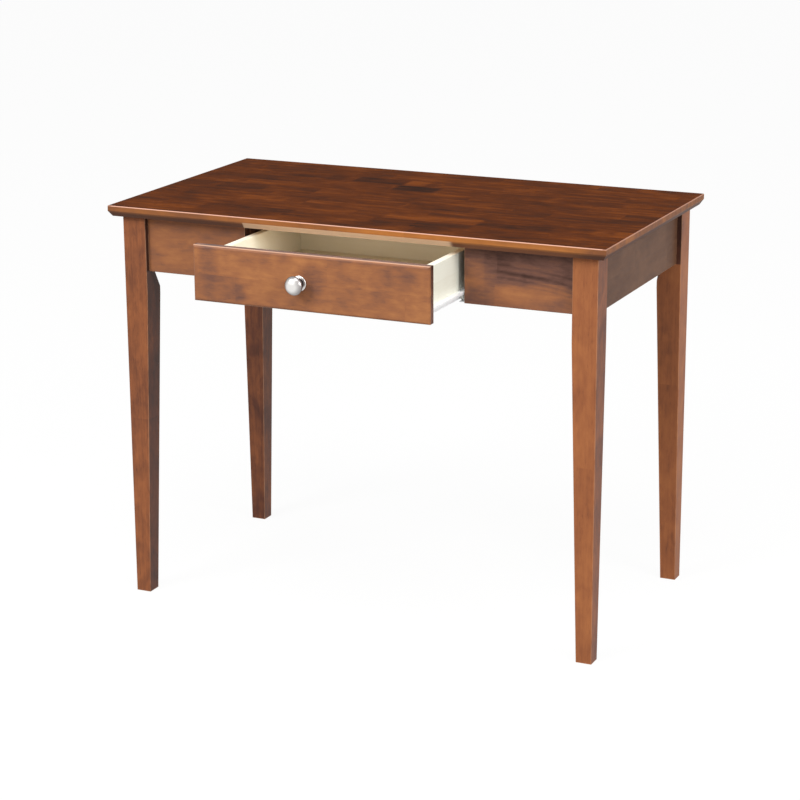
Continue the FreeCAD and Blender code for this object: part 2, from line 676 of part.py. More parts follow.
def make_channel(sign):
    """Make the desk's channel, its upper flange cut away over the front roller."""
    body = new_body()
    gauge, notch = "sizes.slide_gauge", "sizes.channel_notch"
    width = f"({OPENING} - {RUNNER_WEB} - sizes.slide_side_gap)"
    web, low = f"{width} - {gauge}", f"{CHANNEL_HEIGHT} - {gauge}"
    sketch = outline(new_sketch(body, "XZ_Plane"), (
        (0, 0), (width, 0), (width, CHANNEL_HEIGHT), (0, CHANNEL_HEIGHT), (0, low), (web, low), (web, gauge),
        (0, gauge)))
    pad(body, sketch, SLIDE_LENGTH, reverse=True)
    ends = (0, notch) if sign > 0 else (f"{SLIDE_LENGTH} - {notch}", SLIDE_LENGTH)
    cutaway = outline(new_sketch(body, "YZ_Plane"), (
        (ends[0], low), (ends[1], low), (ends[1], CHANNEL_HEIGHT), (ends[0], CHANNEL_HEIGHT)))
    pocket(body, cutaway, reverse=True)
    y = CHANNEL_FRONT if sign > 0 else f"{CHANNEL_FRONT} + {SLIDE_LENGTH}"
    place(body, f"{sign} * ({OPENING} - {width})", y, CHANNEL_LOW, Rotation(UPRIGHT, 90 - 90 * sign))
    return body


def make_roller(sign, y):
    """Make one roller with its bore."""
    body = new_body()
    bore = "sizes.axle_diameter / 2 + sizes.axle_play"
    outer, width, bevel = "sizes.roller_diameter / 2", "sizes.roller_width", "sizes.roller_bevel"
    sketch = outline(new_sketch(body, "XY_Plane"), (
        (bore, 0), (f"{outer} - {bevel}", 0), (outer, bevel), (outer, f"{width} - {bevel}"),
        (f"{outer} - {bevel}", width), (bore, width)))
    turned = body.newObject("PartDesign::Revolution", "Revolution")
    turned.Profile = sketch
    turned.ReferenceAxis = (sketch, ["V_Axis"])
    turned.Angle = 360
    place(body, f"{sign} * {ROLLER_IN}", y, ROLLER_Z, Rotation(UPRIGHT, -90 * sign))
    return body


def make_axle(sign, y, from_channel):
    """Make one axle: a shoulder on the strip, the pin through the roller and a head."""
    play, head_height = "sizes.axle_side_play", "sizes.axle_head_height"
    near, far = (CHANNEL_WEB, RUNNER_WEB) if from_channel else (RUNNER_WEB, CHANNEL_WEB)
    rest, free = (ROLLER_OUT, ROLLER_IN) if from_channel else (ROLLER_IN, ROLLER_OUT)
    way = -1 if from_channel else 1
    toward = Vector(way * sign, 0, 0)
    shoulder = f"{way} * ({rest} - {near}) - {play}"
    pin = f"{way} * ({free} - {near}) + {play}"
    head_seat = f"{sign} * ({free} + {way} * {play})"
    shoulder_radius = "sizes.axle_shoulder_diameter / 2"
    return [rod(shoulder_radius, shoulder, (f"{sign} * {near}", y, ROLLER_Z), toward),
            rod("sizes.axle_diameter / 2", pin, (f"{sign} * {near}", y, ROLLER_Z), toward),
            rod(shoulder_radius, head_height, (head_seat, y, ROLLER_Z), toward)]


rail_spots, front_axles, rear_axles = [], [], []
for side, sign in SIDES:
    for y in (f"{CHANNEL_FRONT} + {slide_inset}", f"{CHANNEL_FRONT} + {SLIDE_LENGTH} - {slide_inset}"):
        rail_spots.append(((f"{sign} * {CHANNEL_WEB}", y, ROLLER_Z), Vector(sign, 0, 0),
                           "sizes.slide_gauge + sizes.rail_screw_reach"))
    front_axles += make_axle(sign, FRONT_ROLLER_Y, True)
    rear_axles += make_axle(sign, REAR_ROLLER_Y, False)
    piece(make_roller(sign, FRONT_ROLLER_Y), f"roller_front_{side}")
    piece(make_roller(sign, REAR_ROLLER_Y), f"roller_rear_{side}")
rail_screws, rail_holes = screws("slide_screw", rail_spots)
piece(joined(front_axles), "front_roller_axles")
piece(joined(rear_axles), "rear_roller_axles")
piece(rail_screws, "slide_rail_screws")
piece(runner_screws, "slide_runner_screws")
for side, sign in SIDES:
    piece(drilled(make_channel(sign), rail_holes), f"slide_rail_{side}")
    piece(drilled(make_runner(sign), runner_holes), f"slide_runner_{side}")
    low_x = f"-({OPENING} + sizes.rail_thickness)" if sign < 0 else OPENING
    rail = board("sizes.rail_thickness", f"2 * {INNER_Y}", "sizes.apron_height",
                 low_x, f"-{INNER_Y}", APRON_LOW)
    piece(drilled(rail, dowel_holes, rail_holes), f"runner_rail_{side}")

# Finished solids
doc.recompute()
for thing in doc.Objects:
    if {"Invalid", "Error"} & set(thing.State):
        raise RuntimeError(f"{thing.Label} could not be worked out: {thing.State}")
for thing in pieces:
    if thing.Shape.isNull() or not thing.Shape.isValid():
        raise RuntimeError(f"{thing.Label} has no valid shape")

os.makedirs("parts", exist_ok=True)
for thing in pieces:
    thing.Shape.exportStep(f"parts/{thing.Label}.step")
    box = thing.Shape.BoundBox
    print(f"{thing.Label}: {len(thing.Shape.Solids)} solids, {thing.Shape.Volume:.0f} mm3, "
          f"x {box.XMin:.2f} {box.XMax:.2f} y {box.YMin:.2f} {box.YMax:.2f} z {box.ZMin:.2f} {box.ZMax:.2f}")
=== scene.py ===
"""Looks of a writing desk with one drawer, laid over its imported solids."""

import logging
import math
from collections.abc import Callable, Sequence
from dataclasses import dataclass
from enum import Enum
from typing import Any, Union

import bpy
from mathutils import Matrix, Vector


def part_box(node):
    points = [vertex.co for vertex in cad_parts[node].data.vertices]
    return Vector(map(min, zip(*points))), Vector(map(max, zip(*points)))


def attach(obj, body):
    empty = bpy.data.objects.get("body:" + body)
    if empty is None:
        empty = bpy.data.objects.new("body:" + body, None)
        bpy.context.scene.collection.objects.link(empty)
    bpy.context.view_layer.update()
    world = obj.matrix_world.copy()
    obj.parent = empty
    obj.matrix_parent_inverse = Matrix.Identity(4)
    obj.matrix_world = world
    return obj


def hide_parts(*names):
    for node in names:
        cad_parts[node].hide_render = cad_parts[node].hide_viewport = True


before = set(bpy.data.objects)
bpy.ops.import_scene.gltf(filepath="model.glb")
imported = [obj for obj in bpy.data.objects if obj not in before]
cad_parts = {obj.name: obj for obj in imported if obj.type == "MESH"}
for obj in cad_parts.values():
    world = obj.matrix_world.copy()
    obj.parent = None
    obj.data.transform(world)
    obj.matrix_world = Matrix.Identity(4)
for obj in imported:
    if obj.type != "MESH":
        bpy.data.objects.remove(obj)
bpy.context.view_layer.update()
MM = 0.001
TOUCH = 1e-5
SMOOTH_ANGLE = math.radians(40)

Pair = tuple[float, float]
Place = tuple[Sequence[float], Sequence[float]]
Piece = bpy.types.Object
Material = bpy.types.Material
Socket = bpy.types.NodeSocket
Number = Union[float, "Value"]

log = logging.getLogger("writing_desk")


class Axis(Enum):
    """A direction of the desk: to the right, to the back or up."""

    X = 0
    Y = 1
    Z = 2


class Side(Enum):
    """A side of the drawer, by the sign of its X."""

    LEFT = -1
    RIGHT = 1


class MeshPart(Enum):
    """What is picked in edit mode."""

    EDGE = "edges"
    FACE = "polygons"


class Slot(Enum):
    """A material slot of the record that modelled pieces take."""

    STEEL = "fastener_steel"
    SLIDE = "slide_steel"
    NYLON = "roller_nylon"
    KNOB = "knob_metal"


@dataclass(frozen=True)
class Tint:
    """A colour as a screen shows it, each part from 0 to 255."""

    red: float
    green: float
    blue: float

    def linear(self) -> tuple[float, float, float, float]:
        """Return the colour as a shader takes it."""
        parts = (value / 255 for value in (self.red, self.green, self.blue))
        return (*(p / 12.92 if p <= 0.04045 else ((p + 0.055) / 1.055) ** 2.4 for p in parts), 1.0)


Stops = Sequence[tuple[float, Tint]]


def math_method(operation: str, swapped: bool = False) -> Callable[..., "Value"]:
    """Make a method that works a number out by a Math node.

    Args:
        operation: What the node works out.
        swapped: Whether the other number comes first.

    Returns:
        The method.
    """
    def method(self: "Value", other: Number = 0.0) -> "Value":
        """Return the result, with another number where the operation takes one."""
        return self.shader.math(operation, *((other, self) if swapped else (self, other)))

    return method


class Value:
    """A number that changes over a surface; arithmetic on it adds Math nodes."""

    def __init__(self, shader: "Shader", socket: Socket) -> None:
        """Keep the socket and the shader that it belongs to."""
        self.shader = shader
        self.socket = socket

    __add__ = math_method("ADD")
    __radd__ = math_method("ADD", swapped=True)
    __sub__ = math_method("SUBTRACT")
    __rsub__ = math_method("SUBTRACT", swapped=True)
    __mul__ = math_method("MULTIPLY")
    __rmul__ = math_method("MULTIPLY", swapped=True)
    __truediv__ = math_method("DIVIDE")
    __abs__ = math_method("ABSOLUTE")
    floor = math_method("FLOOR")
    fraction = math_method("FRACT")
    lower = math_method("MINIMUM")
    upper = math_method("MAXIMUM")

    def rise(self, start: float, end: float) -> "Value":
        """Return a soft step up, from 0 at the start to 1 at the end."""
        made = self.shader.node(
            "ShaderNodeMapRange", {"interpolation_type": "SMOOTHSTEP"}, {0: self, 1: start, 2: end})
        return Value(self.shader, made.outputs[0])

    def fall(self, start: float, end: float) -> "Value":
        """Return a soft step down, from 1 at the start to 0 at the end."""
        return 1.0 - self.rise(start, end)

    def between(self, low: float, high: float, soft: float) -> "Value":
        """Return 1 between two limits and 0 outside, with a soft passage at each."""
        return self.rise(low - soft, low + soft) - self.rise(high - soft, high + soft)


Coordinates = dict[Axis, Value]


class Shader:
    """A node tree that is filled from Python expressions."""

    def __init__(self, tree: bpy.types.NodeTree) -> None:
        """Empty the tree and keep it."""
        self.tree = tree
        self.tree.nodes.clear()

    @classmethod
    def material(cls, name: str) -> tuple["Shader", Material]:
        """Start a material.

        Args:
            name: The material's name.

        Returns:
            The shader that fills it, and the material.
        """
        made = bpy.data.materials.new(name)
        made.use_nodes = True
        return cls(made.node_tree), made

    def node(self, kind: str, settings: dict[str, Any] | None = None,
             sockets: dict[str | int, Any] | None = None) -> bpy.types.Node:
        """Add a node.

        Args:
            kind: The node's type.
            settings: Its properties, set first.
            sockets: Numbers, colours, values or outputs for its inputs.

        Returns:
            The node.
        """
        made = self.tree.nodes.new(kind)
        for key, setting in (settings or {}).items():
            setattr(made, key, setting)
        for key, given in (sockets or {}).items():
            given = given.socket if isinstance(given, Value) else given
            if isinstance(given, Socket):
                self.tree.links.new(given, made.inputs[key])
            else:
                made.inputs[key].default_value = given
        return made

    def math(self, operation: str, first: Number, second: Number = 0.0) -> Value:
        """Return what a Math node works out from one or two numbers."""
        made = self.node("ShaderNodeMath", {"operation": operation}, {0: first, 1: second})
        return Value(self, made.outputs[0])

    def place(self) -> Coordinates:
        """Find where a point lies on the piece.

        Returns:
            Its three coordinates, in metres.
        """
        spot = self.node("ShaderNodeTexCoord").outputs["Object"]
        outputs = self.node("ShaderNodeSeparateXYZ", None, {0: spot}).outputs
        return {axis: Value(self, outputs[axis.value]) for axis in Axis}

    def vector(self, x: Number, y: Number, z: Number) -> Socket:
        """Return three numbers as one vector."""
        return self.node("ShaderNodeCombineXYZ", None, {0: x, 1: y, 2: z}).outputs[0]

    def noise(self, spot: Socket, detail: float = 2.0, twist: float = 0.0) -> Value:
        """Add a cloudy pattern.

        Args:
            spot: Where it is read; one unit is one cloud.
            detail: How many finer clouds it holds.
            twist: How much it is distorted.

        Returns:
            The pattern, about 0.5 on average.
        """
        made = self.node("ShaderNodeTexNoise", None, {
            "Vector": spot, "Scale": 1.0, "Detail": detail, "Distortion": twist})
        return Value(self, made.outputs[0])

    def clouds(self, place: Coordinates, number: float, detail: float = 2.0) -> Value:
        """Return a pattern with that number of clouds to the metre in every direction."""
        return self.noise(self.vector(*(place[axis] * number for axis in Axis)), detail)

    def chance(self, x: Number, y: Number) -> Value:
        """Return a number from 0 to 1 that is different for each pair of whole numbers."""
        made = self.node("ShaderNodeTexWhiteNoise", {"noise_dimensions": "2D"}, {
            "Vector": self.vector(x, y, 0.0)})
        return Value(self, made.outputs[0])

    def ramp(self, factor: Value, stops: Stops) -> Socket:
        """Show a number as a colour between stops.

        Args:
            factor: The number.
            stops: Place and colour of each stop, in order; a new ramp has two.

        Returns:
            The colour.
        """
        made = self.node("ShaderNodeValToRGB", None, {0: factor})
        for _ in stops[2:]:
            made.color_ramp.elements.new(0.5)
        for element, (place, tint) in zip(made.color_ramp.elements, stops):
            element.position = place
            element.color = tint.linear()
        return made.outputs[0]

    def mix(self, share: Value, under: Any, over: Any) -> Socket:
        """Lay one colour over another.

        Args:
            share: How much of the upper one shows.
            under: The lower colour, as a socket or a tint.
            over: The upper colour, as a socket or a tint.

        Returns:
            The colour.
        """
        lower, upper = (c.linear() if isinstance(c, Tint) else c for c in (under, over))
        return self.node("ShaderNodeMix", {"data_type": "RGBA"}, {0: share, 6: lower, 7: upper}).outputs[2]

    def bump(self, height: Value, depth: float) -> Socket:
        """Return the surface direction for a relief of that depth, in metres."""
        sockets = {"Strength": 1.0, "Distance": depth, "Height": height}
        return self.node("ShaderNodeBump", None, sockets).outputs[0]

    def surface(self, sockets: dict[str, Any]) -> None:
        """Finish a material with one layered surface, its inputs given by name."""
        made = self.node("ShaderNodeBsdfPrincipled", None, sockets)
        self.node("ShaderNodeOutputMaterial", None, {"Surface": made.outputs[0]})


@dataclass(frozen=True)
class Stave:
    """A length of timber that took the stain more or less than its neighbours, with soft ends."""

    start: float
    end: float
    low: float
    high: float
    tone: float
    soft: float = 0.006

    def draw(self, along: Value, across: Value) -> Value:
        """Return the tone that it adds at a point of the board."""
        length = along.between(self.start, self.end, self.soft)
        return length * across.between(self.low, self.high, self.soft) * self.tone


@dataclass(frozen=True)
class Patch:
    """A soft oval spot that took more or less stain; a few are painted shadows, noted where they are set."""

    along: float
    across: float
    length: float
    height: float
    tone: float

    def draw(self, along: Value, across: Value) -> Value:
        """Return the tone that it adds at a point of the board."""
        u, v = (along - self.along) / self.length, (across - self.across) / self.height
        return (1.0 - u * u - v * v).rise(0.0, 1.0) * self.tone


@dataclass(frozen=True)
class Flame:
    """A dark growth line that sags along the board."""

    start: float
    level: float
    sag: float
    width: float
    tone: float
    fade: Pair = (-0.01, 0.03)

    def draw(self, along: Value, across: Value) -> Value:
        """Draw the line.

        Args:
            along: Where a point lies along the grain.
            across: Where it lies across the grain.

        Returns:
            The tone that the line adds there.
        """
        run = along - self.start
        near = 1.0 - abs(across - self.level + run * run * self.sag) / self.width
        return near.rise(0.0, 1.0) * run.rise(*self.fade) * self.tone


Mark = Stave | Patch | Flame


@dataclass(frozen=True)
class Board:
    """A wooden node with the directions of its grain and its width, and the marks of its stain and some
    painted shadows.
    """

    node: str
    grain: Axis
    width: Axis
    seed: float
    tone: float = 0.0
    marks: tuple[Mark, ...] = ()
    contrast: float = 1.0

    @property
    def depth(self) -> Axis:
        """The direction through the board."""
        return next(axis for axis in Axis if axis not in (self.grain, self.width))


@dataclass(frozen=True)
class Grain:
    """Figure of glued-up timber; a scale is a number of clouds to the metre, along and across the grain."""

    stave_width: float = 0.046
    stave_length: float = 0.21
    stave_share: float = 0.06
    stave_shift: float = 0.4
    blotch_scale: Pair = (13.0, 19.0)
    blotch_share: float = 0.85
    cloud_scale: Pair = (40.0, 95.0)
    cloud_share: float = 0.45
    streak_number: float = 8.0
    streak_width: float = 0.0042
    streak_share: float = 0.26
    pore_scale: Pair = (75.0, 1150.0)
    pore_span: Pair = (0.62, 0.74)
    pore_share: float = 0.14
    seam_span: Pair = (0.494, 0.499)
    seam_share: float = 0.05

    def draw(self, shader: Shader, board: Board, place: Coordinates) -> tuple[Value, Value]:
        """Draw the figure.

        Args:
            shader: The material's shader.
            board: The board it is for.
            place: The coordinates on it.

        Returns:
            The tone, about 0.5, and the fine relief, from 0 to 1.
        """
        low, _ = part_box(board.node)
        along, across, through = (place[axis] for axis in (board.grain, board.width, board.depth))
        position = (across - low[board.width.value]) / self.stave_width
        row = position.floor()
        odd = shader.chance(row, board.seed)
        cell = (along / (self.stave_length * (0.7 + 0.8 * odd)) + 9.0 * odd).floor()
        stave = shader.chance(row + 40.0 * board.seed, cell)
        shift = along + board.seed + self.stave_shift * stave

        def figure(scale: Pair, detail: float, twist: float = 0.0) -> Value:
            """Return clouds that follow the grain."""
            spot = shader.vector(shift * scale[0], across * scale[1], through * scale[1])
            return shader.noise(spot, detail, twist)

        blotch = figure(self.blotch_scale, 3.0, 0.6)
        cloud = figure(self.cloud_scale, 3.0, 0.3)
        streak = figure((self.streak_number, 1.0 / self.streak_width), 3.0, 0.2)
        pore = figure(self.pore_scale, 1.0).rise(*self.pore_span)
        seam = abs(position.fraction() - 0.5).rise(*self.seam_span)
        uneven = (self.stave_share * (stave - 0.5) + self.blotch_share * (blotch - 0.5)
                  + self.cloud_share * (cloud - 0.5) + self.streak_share * (streak - 0.5)
                  - self.pore_share * pore - self.seam_share * seam)
        tone = 0.5 + board.tone + uneven * board.contrast
        for mark in board.marks:
            tone = tone + mark.draw(along, across)
        return tone, streak * 0.6 + 0.4 - 0.5 * pore - 0.4 * seam


@dataclass(frozen=True)
class Ground:
    """A board made ready for its finish: the coordinates on it, its box, its figure and its relief."""

    shader: Shader
    board: Board
    place: Coordinates
    low: Vector
    high: Vector
    tone: Value
    relief: Value

    def drop(self) -> Value:
        """Return the depth below the board's upper face."""
        return self.high.z - self.place[Axis.Z]

    def inset(self, axis: Axis) -> Value:
        """Return the distance from the nearer of the two end faces along an axis."""
        low, high = self.low[axis.value], self.high[axis.value]
        return (high - low) / 2 - abs(self.place[axis] - (low + high) / 2)

    def edge(self, tapered: Coordinates | None = None) -> Value:
        """Measure how far a point lies from the nearest edge.

        Args:
            tapered: The distance from the nearer face along an axis, where the board tapers.

        Returns:
            The distance, in metres.
        """
        a, b, c = ((tapered or {}).get(axis) or self.inset(axis) for axis in Axis)
        return a.lower(b).upper(a.upper(b).lower(c))


@dataclass(frozen=True)
class WoodFinish:
    """A finish that lets the figure of the wood show."""

    family: str = "wood"
    coat_roughness: float = 0.35
    grain: Grain = Grain()
    roughness: float = 0.62
    rough_spread: float = 0.1
    gloss: float = 0.25
    relief: float = 0.00006

    def on(self, board: Board) -> Material:
        """Make the finish for one board.

        Args:
            board: The board it is for.

        Returns:
            The material.
        """
        shader, made = Shader.material(f"{self.family}_{board.node}")
        place = shader.place()
        ground = Ground(shader, board, place, *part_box(board.node), *self.grain.draw(shader, board, place))
        shader.surface({
            "Base Color": self.colour(ground),
            "Roughness": self.roughness + self.rough_spread * (ground.relief - 0.5),
            "Specular IOR Level": self.gloss,
            "Coat Weight": self.coat(ground),
            "Coat Roughness": self.coat_roughness,
            "Normal": shader.bump(ground.relief, self.relief),
        })
        return made

    def colour(self, ground: Ground) -> Socket:
        """Return the colour on a board."""
        raise NotImplementedError

    def coat(self, ground: Ground) -> Number:
        """Return how much of a second, glossier coat a board has."""
        return 0.0


@dataclass(frozen=True)
class StainedWood(WoodFinish):
    """Red-brown stain under satin lacquer, greyer where it is deep, and lighter on the arrises, where it is
    worn thin and has a painted highlight.
    """

    family: str = "stained_wood"
    shade: Tint = Tint(62, 38, 30)
    deep: Tint = Tint(104, 71, 60)
    body: Tint = Tint(148, 95, 62)
    light: Tint = Tint(180, 120, 72)
    # Lighter arrises: partly worn stain, partly painted highlight.
    wear_and_highlight: Tint = Tint(210, 160, 124)
    wear_and_highlight_share: float = 0.45
    wear_and_highlight_span: Pair = (0.0002, 0.0016)
    rub_number: float = 38.0
    rub_span: Pair = (0.15, 0.6)
    skin: Pair = (0.0003, 0.001)
    end_tone: float = -0.42
    roughness: float = 0.44
    rough_spread: float = 0.16
    gloss: float = 0.2
    relief: float = 0.00008

    def stops(self) -> Stops:
        """Return the stain's colours from its darkest tone to its lightest."""
        return [(0.0, self.shade), (0.22, self.deep), (0.5, self.body), (0.8, self.light)]

    def tone(self, ground: Ground) -> Value:
        """Return the tone of the stain, which end grain draws in deeper."""
        return ground.tone + self.end_tone * ground.inset(ground.board.grain).fall(*self.skin)

    def edge(self, ground: Ground) -> Value:
        """Return the distance from the nearest edge."""
        return ground.edge()

    def colour(self, ground: Ground) -> Socket:
        """Colour a board, lighter along its edges, where it is worn thin and has a painted highlight.

        Args:
            ground: The board.

        Returns:
            The colour.
        """
        shader = ground.shader
        rubbed = shader.clouds(ground.place, self.rub_number).rise(*self.rub_span)
        wear_and_highlight = self.edge(ground).fall(*self.wear_and_highlight_span) * rubbed * self.wear_and_highlight_share
        return shader.mix(wear_and_highlight, shader.ramp(self.tone(ground), self.stops()), self.wear_and_highlight)


@dataclass(frozen=True)
class LegStain(StainedWood):
    """The stain of a leg, with painted shade on its two tapered inner faces, on its outer side faces and in
    the corners beside the aprons.
    """

    deep: Tint = Tint(94, 55, 40)
    body: Tint = Tint(144, 86, 53)
    light: Tint = Tint(172, 108, 64)
    grain: Grain = Grain(
        stave_width=0.05, stave_length=0.6, stave_share=0.04, blotch_share=0.5, cloud_share=0.3)
    taper_start: float = 0.549
    narrowing: float = 0.016
    # Painted shade on the two tapered inner faces.
    inner_span: Pair = (0.0, 0.0008)
    inner_shade_tone: float = -0.28
    # Painted shade on the outer faces that look along X.
    flank_tone: float = -0.21
    # Painted shade in the corners beside the aprons, where the leg's face meets the recessed apron.
    apron_span: Pair = (0.593, 0.595)
    reveal_span: Pair = (0.009, 0.010)
    reveal_shade_tone: float = -0.40

    def faces(self, ground: Ground) -> tuple[Coordinates, Coordinates]:
        """Measure how far a point lies from the leg's faces.

        Args:
            ground: The leg.

        Returns:
            The distances from the tapered inner faces and from the outer faces.
        """
        cut = ((self.taper_start - ground.place[Axis.Z]) * (self.narrowing / self.taper_start)).upper(0.0)
        inner: Coordinates = {}
        outer: Coordinates = {}
        for axis in (Axis.X, Axis.Y):
            low, high = ground.low[axis.value], ground.high[axis.value]
            from_low, from_high = ground.place[axis] - low, high - ground.place[axis]
            near, far = (from_low, from_high) if abs(low) > abs(high) else (from_high, from_low)
            outer[axis], inner[axis] = near, far - cut
        return inner, outer

    def tone(self, ground: Ground) -> Value:
        """Tell the faces of a leg apart, for the painted shade on some of them.

        Args:
            ground: The leg.

        Returns:
            The tone of the stain.
        """
        inner, outer = self.faces(ground)
        inside, outside = (gaps[Axis.X].lower(gaps[Axis.Y]) for gaps in (inner, outer))
        # Painted shade on the two tapered inner faces.
        tone = ground.tone + (outside - inside).rise(*self.inner_span) * self.inner_shade_tone
        # Painted shade on the outer faces that look along X.
        tone = tone + outer[Axis.X].fall(*self.skin) * self.flank_tone
        # Painted shade in the corners beside the aprons, from their lower edge upwards.
        beside = ground.place[Axis.Z].rise(*self.apron_span)
        for face, across in ((Axis.X, Axis.Y), (Axis.Y, Axis.X)):
            reveal = outer[across].fall(*self.reveal_span) * inner[face].fall(*self.skin)
            tone = tone + beside * reveal * self.reveal_shade_tone
        return tone

    def edge(self, ground: Ground) -> Value:
        """Return the distance from the nearest edge of the tapered leg."""
        inner, outer = self.faces(ground)
        return ground.edge({axis: inner[axis].lower(outer[axis]) for axis in inner})


@dataclass(frozen=True)
class FrontStain(StainedWood):
    """The stain of the drawer front, deep on its ends, with a painted highlight along its upper front edge
    and painted shade behind it on the top face and on the rounding below.
    """

    grain: Grain = Grain(cloud_share=0.62, streak_share=0.14, streak_width=0.003, pore_share=0.18)
    # Painted highlight along the upper front edge, ending rim_width back from the front.
    painted_rim: Tint = Tint(206, 164, 138)
    highlight_share: float = 0.75
    rim_drop: Pair = (0.00036, 0.0012)
    rim_width: Pair = (0.0049, 0.0061)
    # Painted shade on the back part of the top face, behind the highlight.
    back_edge_shade_tone: float = -0.24
    # Painted shade along the top 4 to 8 mm, on the rounded upper edge.
    round_span: Pair = (0.004, 0.008)
    round_shade_tone: float = -0.08
    end_span: Pair = (0.0008, 0.0024)
    end_tone: float = -0.40

    def colour(self, ground: Ground) -> Socket:
        """Colour the drawer front, with its painted highlight and painted shade.

        Args:
            ground: The drawer front.

        Returns:
            The colour.
        """
        shader, depth = ground.shader, ground.place[Axis.Y] - ground.low.y
        upper, behind = ground.drop().fall(*self.rim_drop), depth.rise(*self.rim_width)
        ends = ground.inset(Axis.X).fall(*self.end_span) * depth.rise(*self.round_span)
        # Painted shade along the top few millimetres of the board.
        tone = ground.tone + self.round_shade_tone * ground.drop().fall(*self.round_span)
        # End grain drawn deeper on the ends, and painted shade on the back of the top face.
        tone = tone + self.end_tone * ends + self.back_edge_shade_tone * upper * behind
        # Painted highlight on the front part of the top edge.
        return shader.mix(upper * (1.0 - behind) * self.highlight_share, shader.ramp(tone, self.stops()), self.painted_rim)


@dataclass(frozen=True)
class TopStain(StainedWood):
    """The stain of the desktop: bare underneath; its level face is darker than its edge, partly painted
    shade; painted shade on the bevel, a painted arris highlight, and a pale strip of painted bounce light
    along part of its bevel.
    """

    # Tints of the level face, darker than the edge tints below: partly stain, partly painted shade for a top
    # that gets less light.
    shade: Tint = Tint(36, 21, 14)
    deep: Tint = Tint(56, 29, 16)
    body: Tint = Tint(82, 40, 15)
    light: Tint = Tint(110, 57, 21)
    edge_deep: Tint = Tint(120, 74, 46)
    edge_body: Tint = Tint(162, 101, 50)
    edge_light: Tint = Tint(190, 124, 64)
    # Painted shade on the downward-facing bevel, and its lighter form over the right part of the front.
    bevel_shade: Tint = Tint(78, 46, 32)
    bevel_shade_light: Tint = Tint(110, 66, 42)
    # Painted highlight along the upper arris.
    painted_rim: Tint = Tint(222, 172, 150)
    # Bare wood underneath; the same tints also make the pale strip of painted bounce light over the drawer.
    bare: Tint = Tint(226, 193, 164)
    bare_dark: Tint = Tint(206, 171, 140)
    roughness: float = 0.6
    gloss: float = 0.008
    grain: Grain = Grain(
        stave_width=0.04618, stave_length=0.2, stave_share=0.10, blotch_share=0.75, cloud_share=0.35,
        streak_share=0.75, streak_width=0.012)
    level_drop: Pair = (0.0002, 0.0012)
    coat_share: float = 0.35
    flank_span: Pair = (0.0055, 0.0075)
    flank_tone: float = -0.22
    left_span: Pair = (-0.06, 0.04)
    left_tone: float = -0.19
    corner_span: Pair = (0.40, 0.44)
    corner_tone: float = -0.22
    # Where the bevel's painted shade is lighter along x, how far below the top it comes in, and how strong it
    # is.
    shade_lift_start: Pair = (0.19, 0.23)
    shade_lift_end: Pair = (0.38, 0.43)
    bevel_drop: Pair = (0.0085, 0.0140)
    bevel_shade_share: float = 0.9
    # Painted highlight: its width from the edge, its drop below the top, its strength, and how much weaker it
    # is on the short sides.
    rim_span: Pair = (0.0007, 0.0019)
    rim_drop: Pair = (0.0012, 0.0018)
    highlight_share: float = 0.85
    highlight_loss: float = 0.45
    # Pale strip of painted bounce light from the open drawer, on the bevel above it, growing stronger towards
    # the right.
    bounce_strip_drop: Pair = (0.0088, 0.0100)
    bounce_strip_depth: Pair = (0.0068, 0.0072)
    bounce_strip_start: Pair = (-0.194, -0.191)
    bounce_strip_end: Pair = (0.184, 0.195)
    bounce_strip_share: float = 0.56
    bounce_strip_gain: float = 0.18
    bounce_gain_span: Pair = (-0.182, -0.08)
    inside_span: Pair = (0.0075, 0.0085)
    under_span: Pair = (0.0003, 0.0008)

    def level(self, ground: Ground) -> Value:
        """Return 1 on the level face and 0 on the edge."""
        return ground.drop().fall(*self.level_drop)

    def flank(self, ground: Ground) -> Value:
        """Return 1 on the edge's two short sides."""
        return ground.inset(Axis.X).fall(*self.flank_span)

    def coat(self, ground: Ground) -> Value:
        """Return the second coat, which only the edge has."""
        return (1.0 - self.level(ground)) * self.coat_share

    def edge_colour(self, ground: Ground) -> Socket:
        """Colour the upright edge and the bevel under it, which carries painted shade.

        Args:
            ground: The desktop.

        Returns:
            The colour.
        """
        shader, x, flank = ground.shader, ground.place[Axis.X], self.flank(ground)
        uneven = self.left_tone * x.fall(*self.left_span) + self.corner_tone * x.rise(*self.corner_span)
        tone = 0.5 + 0.5 * (ground.tone - 0.5) + self.flank_tone * flank + uneven * (1.0 - flank)
        upright = shader.ramp(tone, [(0.2, self.edge_deep), (0.5, self.edge_body), (0.8, self.edge_light)])
        # Painted shade on the bevel, lighter between x = 0.19 and 0.43 m, mixed in below the upright band.
        thin = x.rise(*self.shade_lift_start) * x.fall(*self.shade_lift_end)
        bevel = shader.mix(thin, self.bevel_shade, self.bevel_shade_light)
        return shader.mix(ground.drop().rise(*self.bevel_drop) * self.bevel_shade_share, upright, bevel)

    def colour(self, ground: Ground) -> Socket:
        """Colour the desktop: level face, edge, pale painted highlight on the upper arris, pale strip of
        painted bounce light over the drawer and bare underside.

        Args:
            ground: The desktop.

        Returns:
            The colour.
        """
        shader, x, drop = ground.shader, ground.place[Axis.X], ground.drop()
        face = shader.ramp(ground.tone, self.stops())
        colour = shader.mix(self.level(ground), self.edge_colour(ground), face)
        # Painted highlight along the upper arris, weaker on the short sides.
        painted_rim = ground.edge().fall(*self.rim_span) * drop.fall(*self.rim_drop) * self.highlight_share
        colour = shader.mix(painted_rim * (1.0 - self.highlight_loss * self.flank(ground)), colour, self.painted_rim)
        # Bare-wood colour, used for the underside and for the strip of painted bounce light.
        pale = shader.mix(ground.relief, self.bare_dark, self.bare)
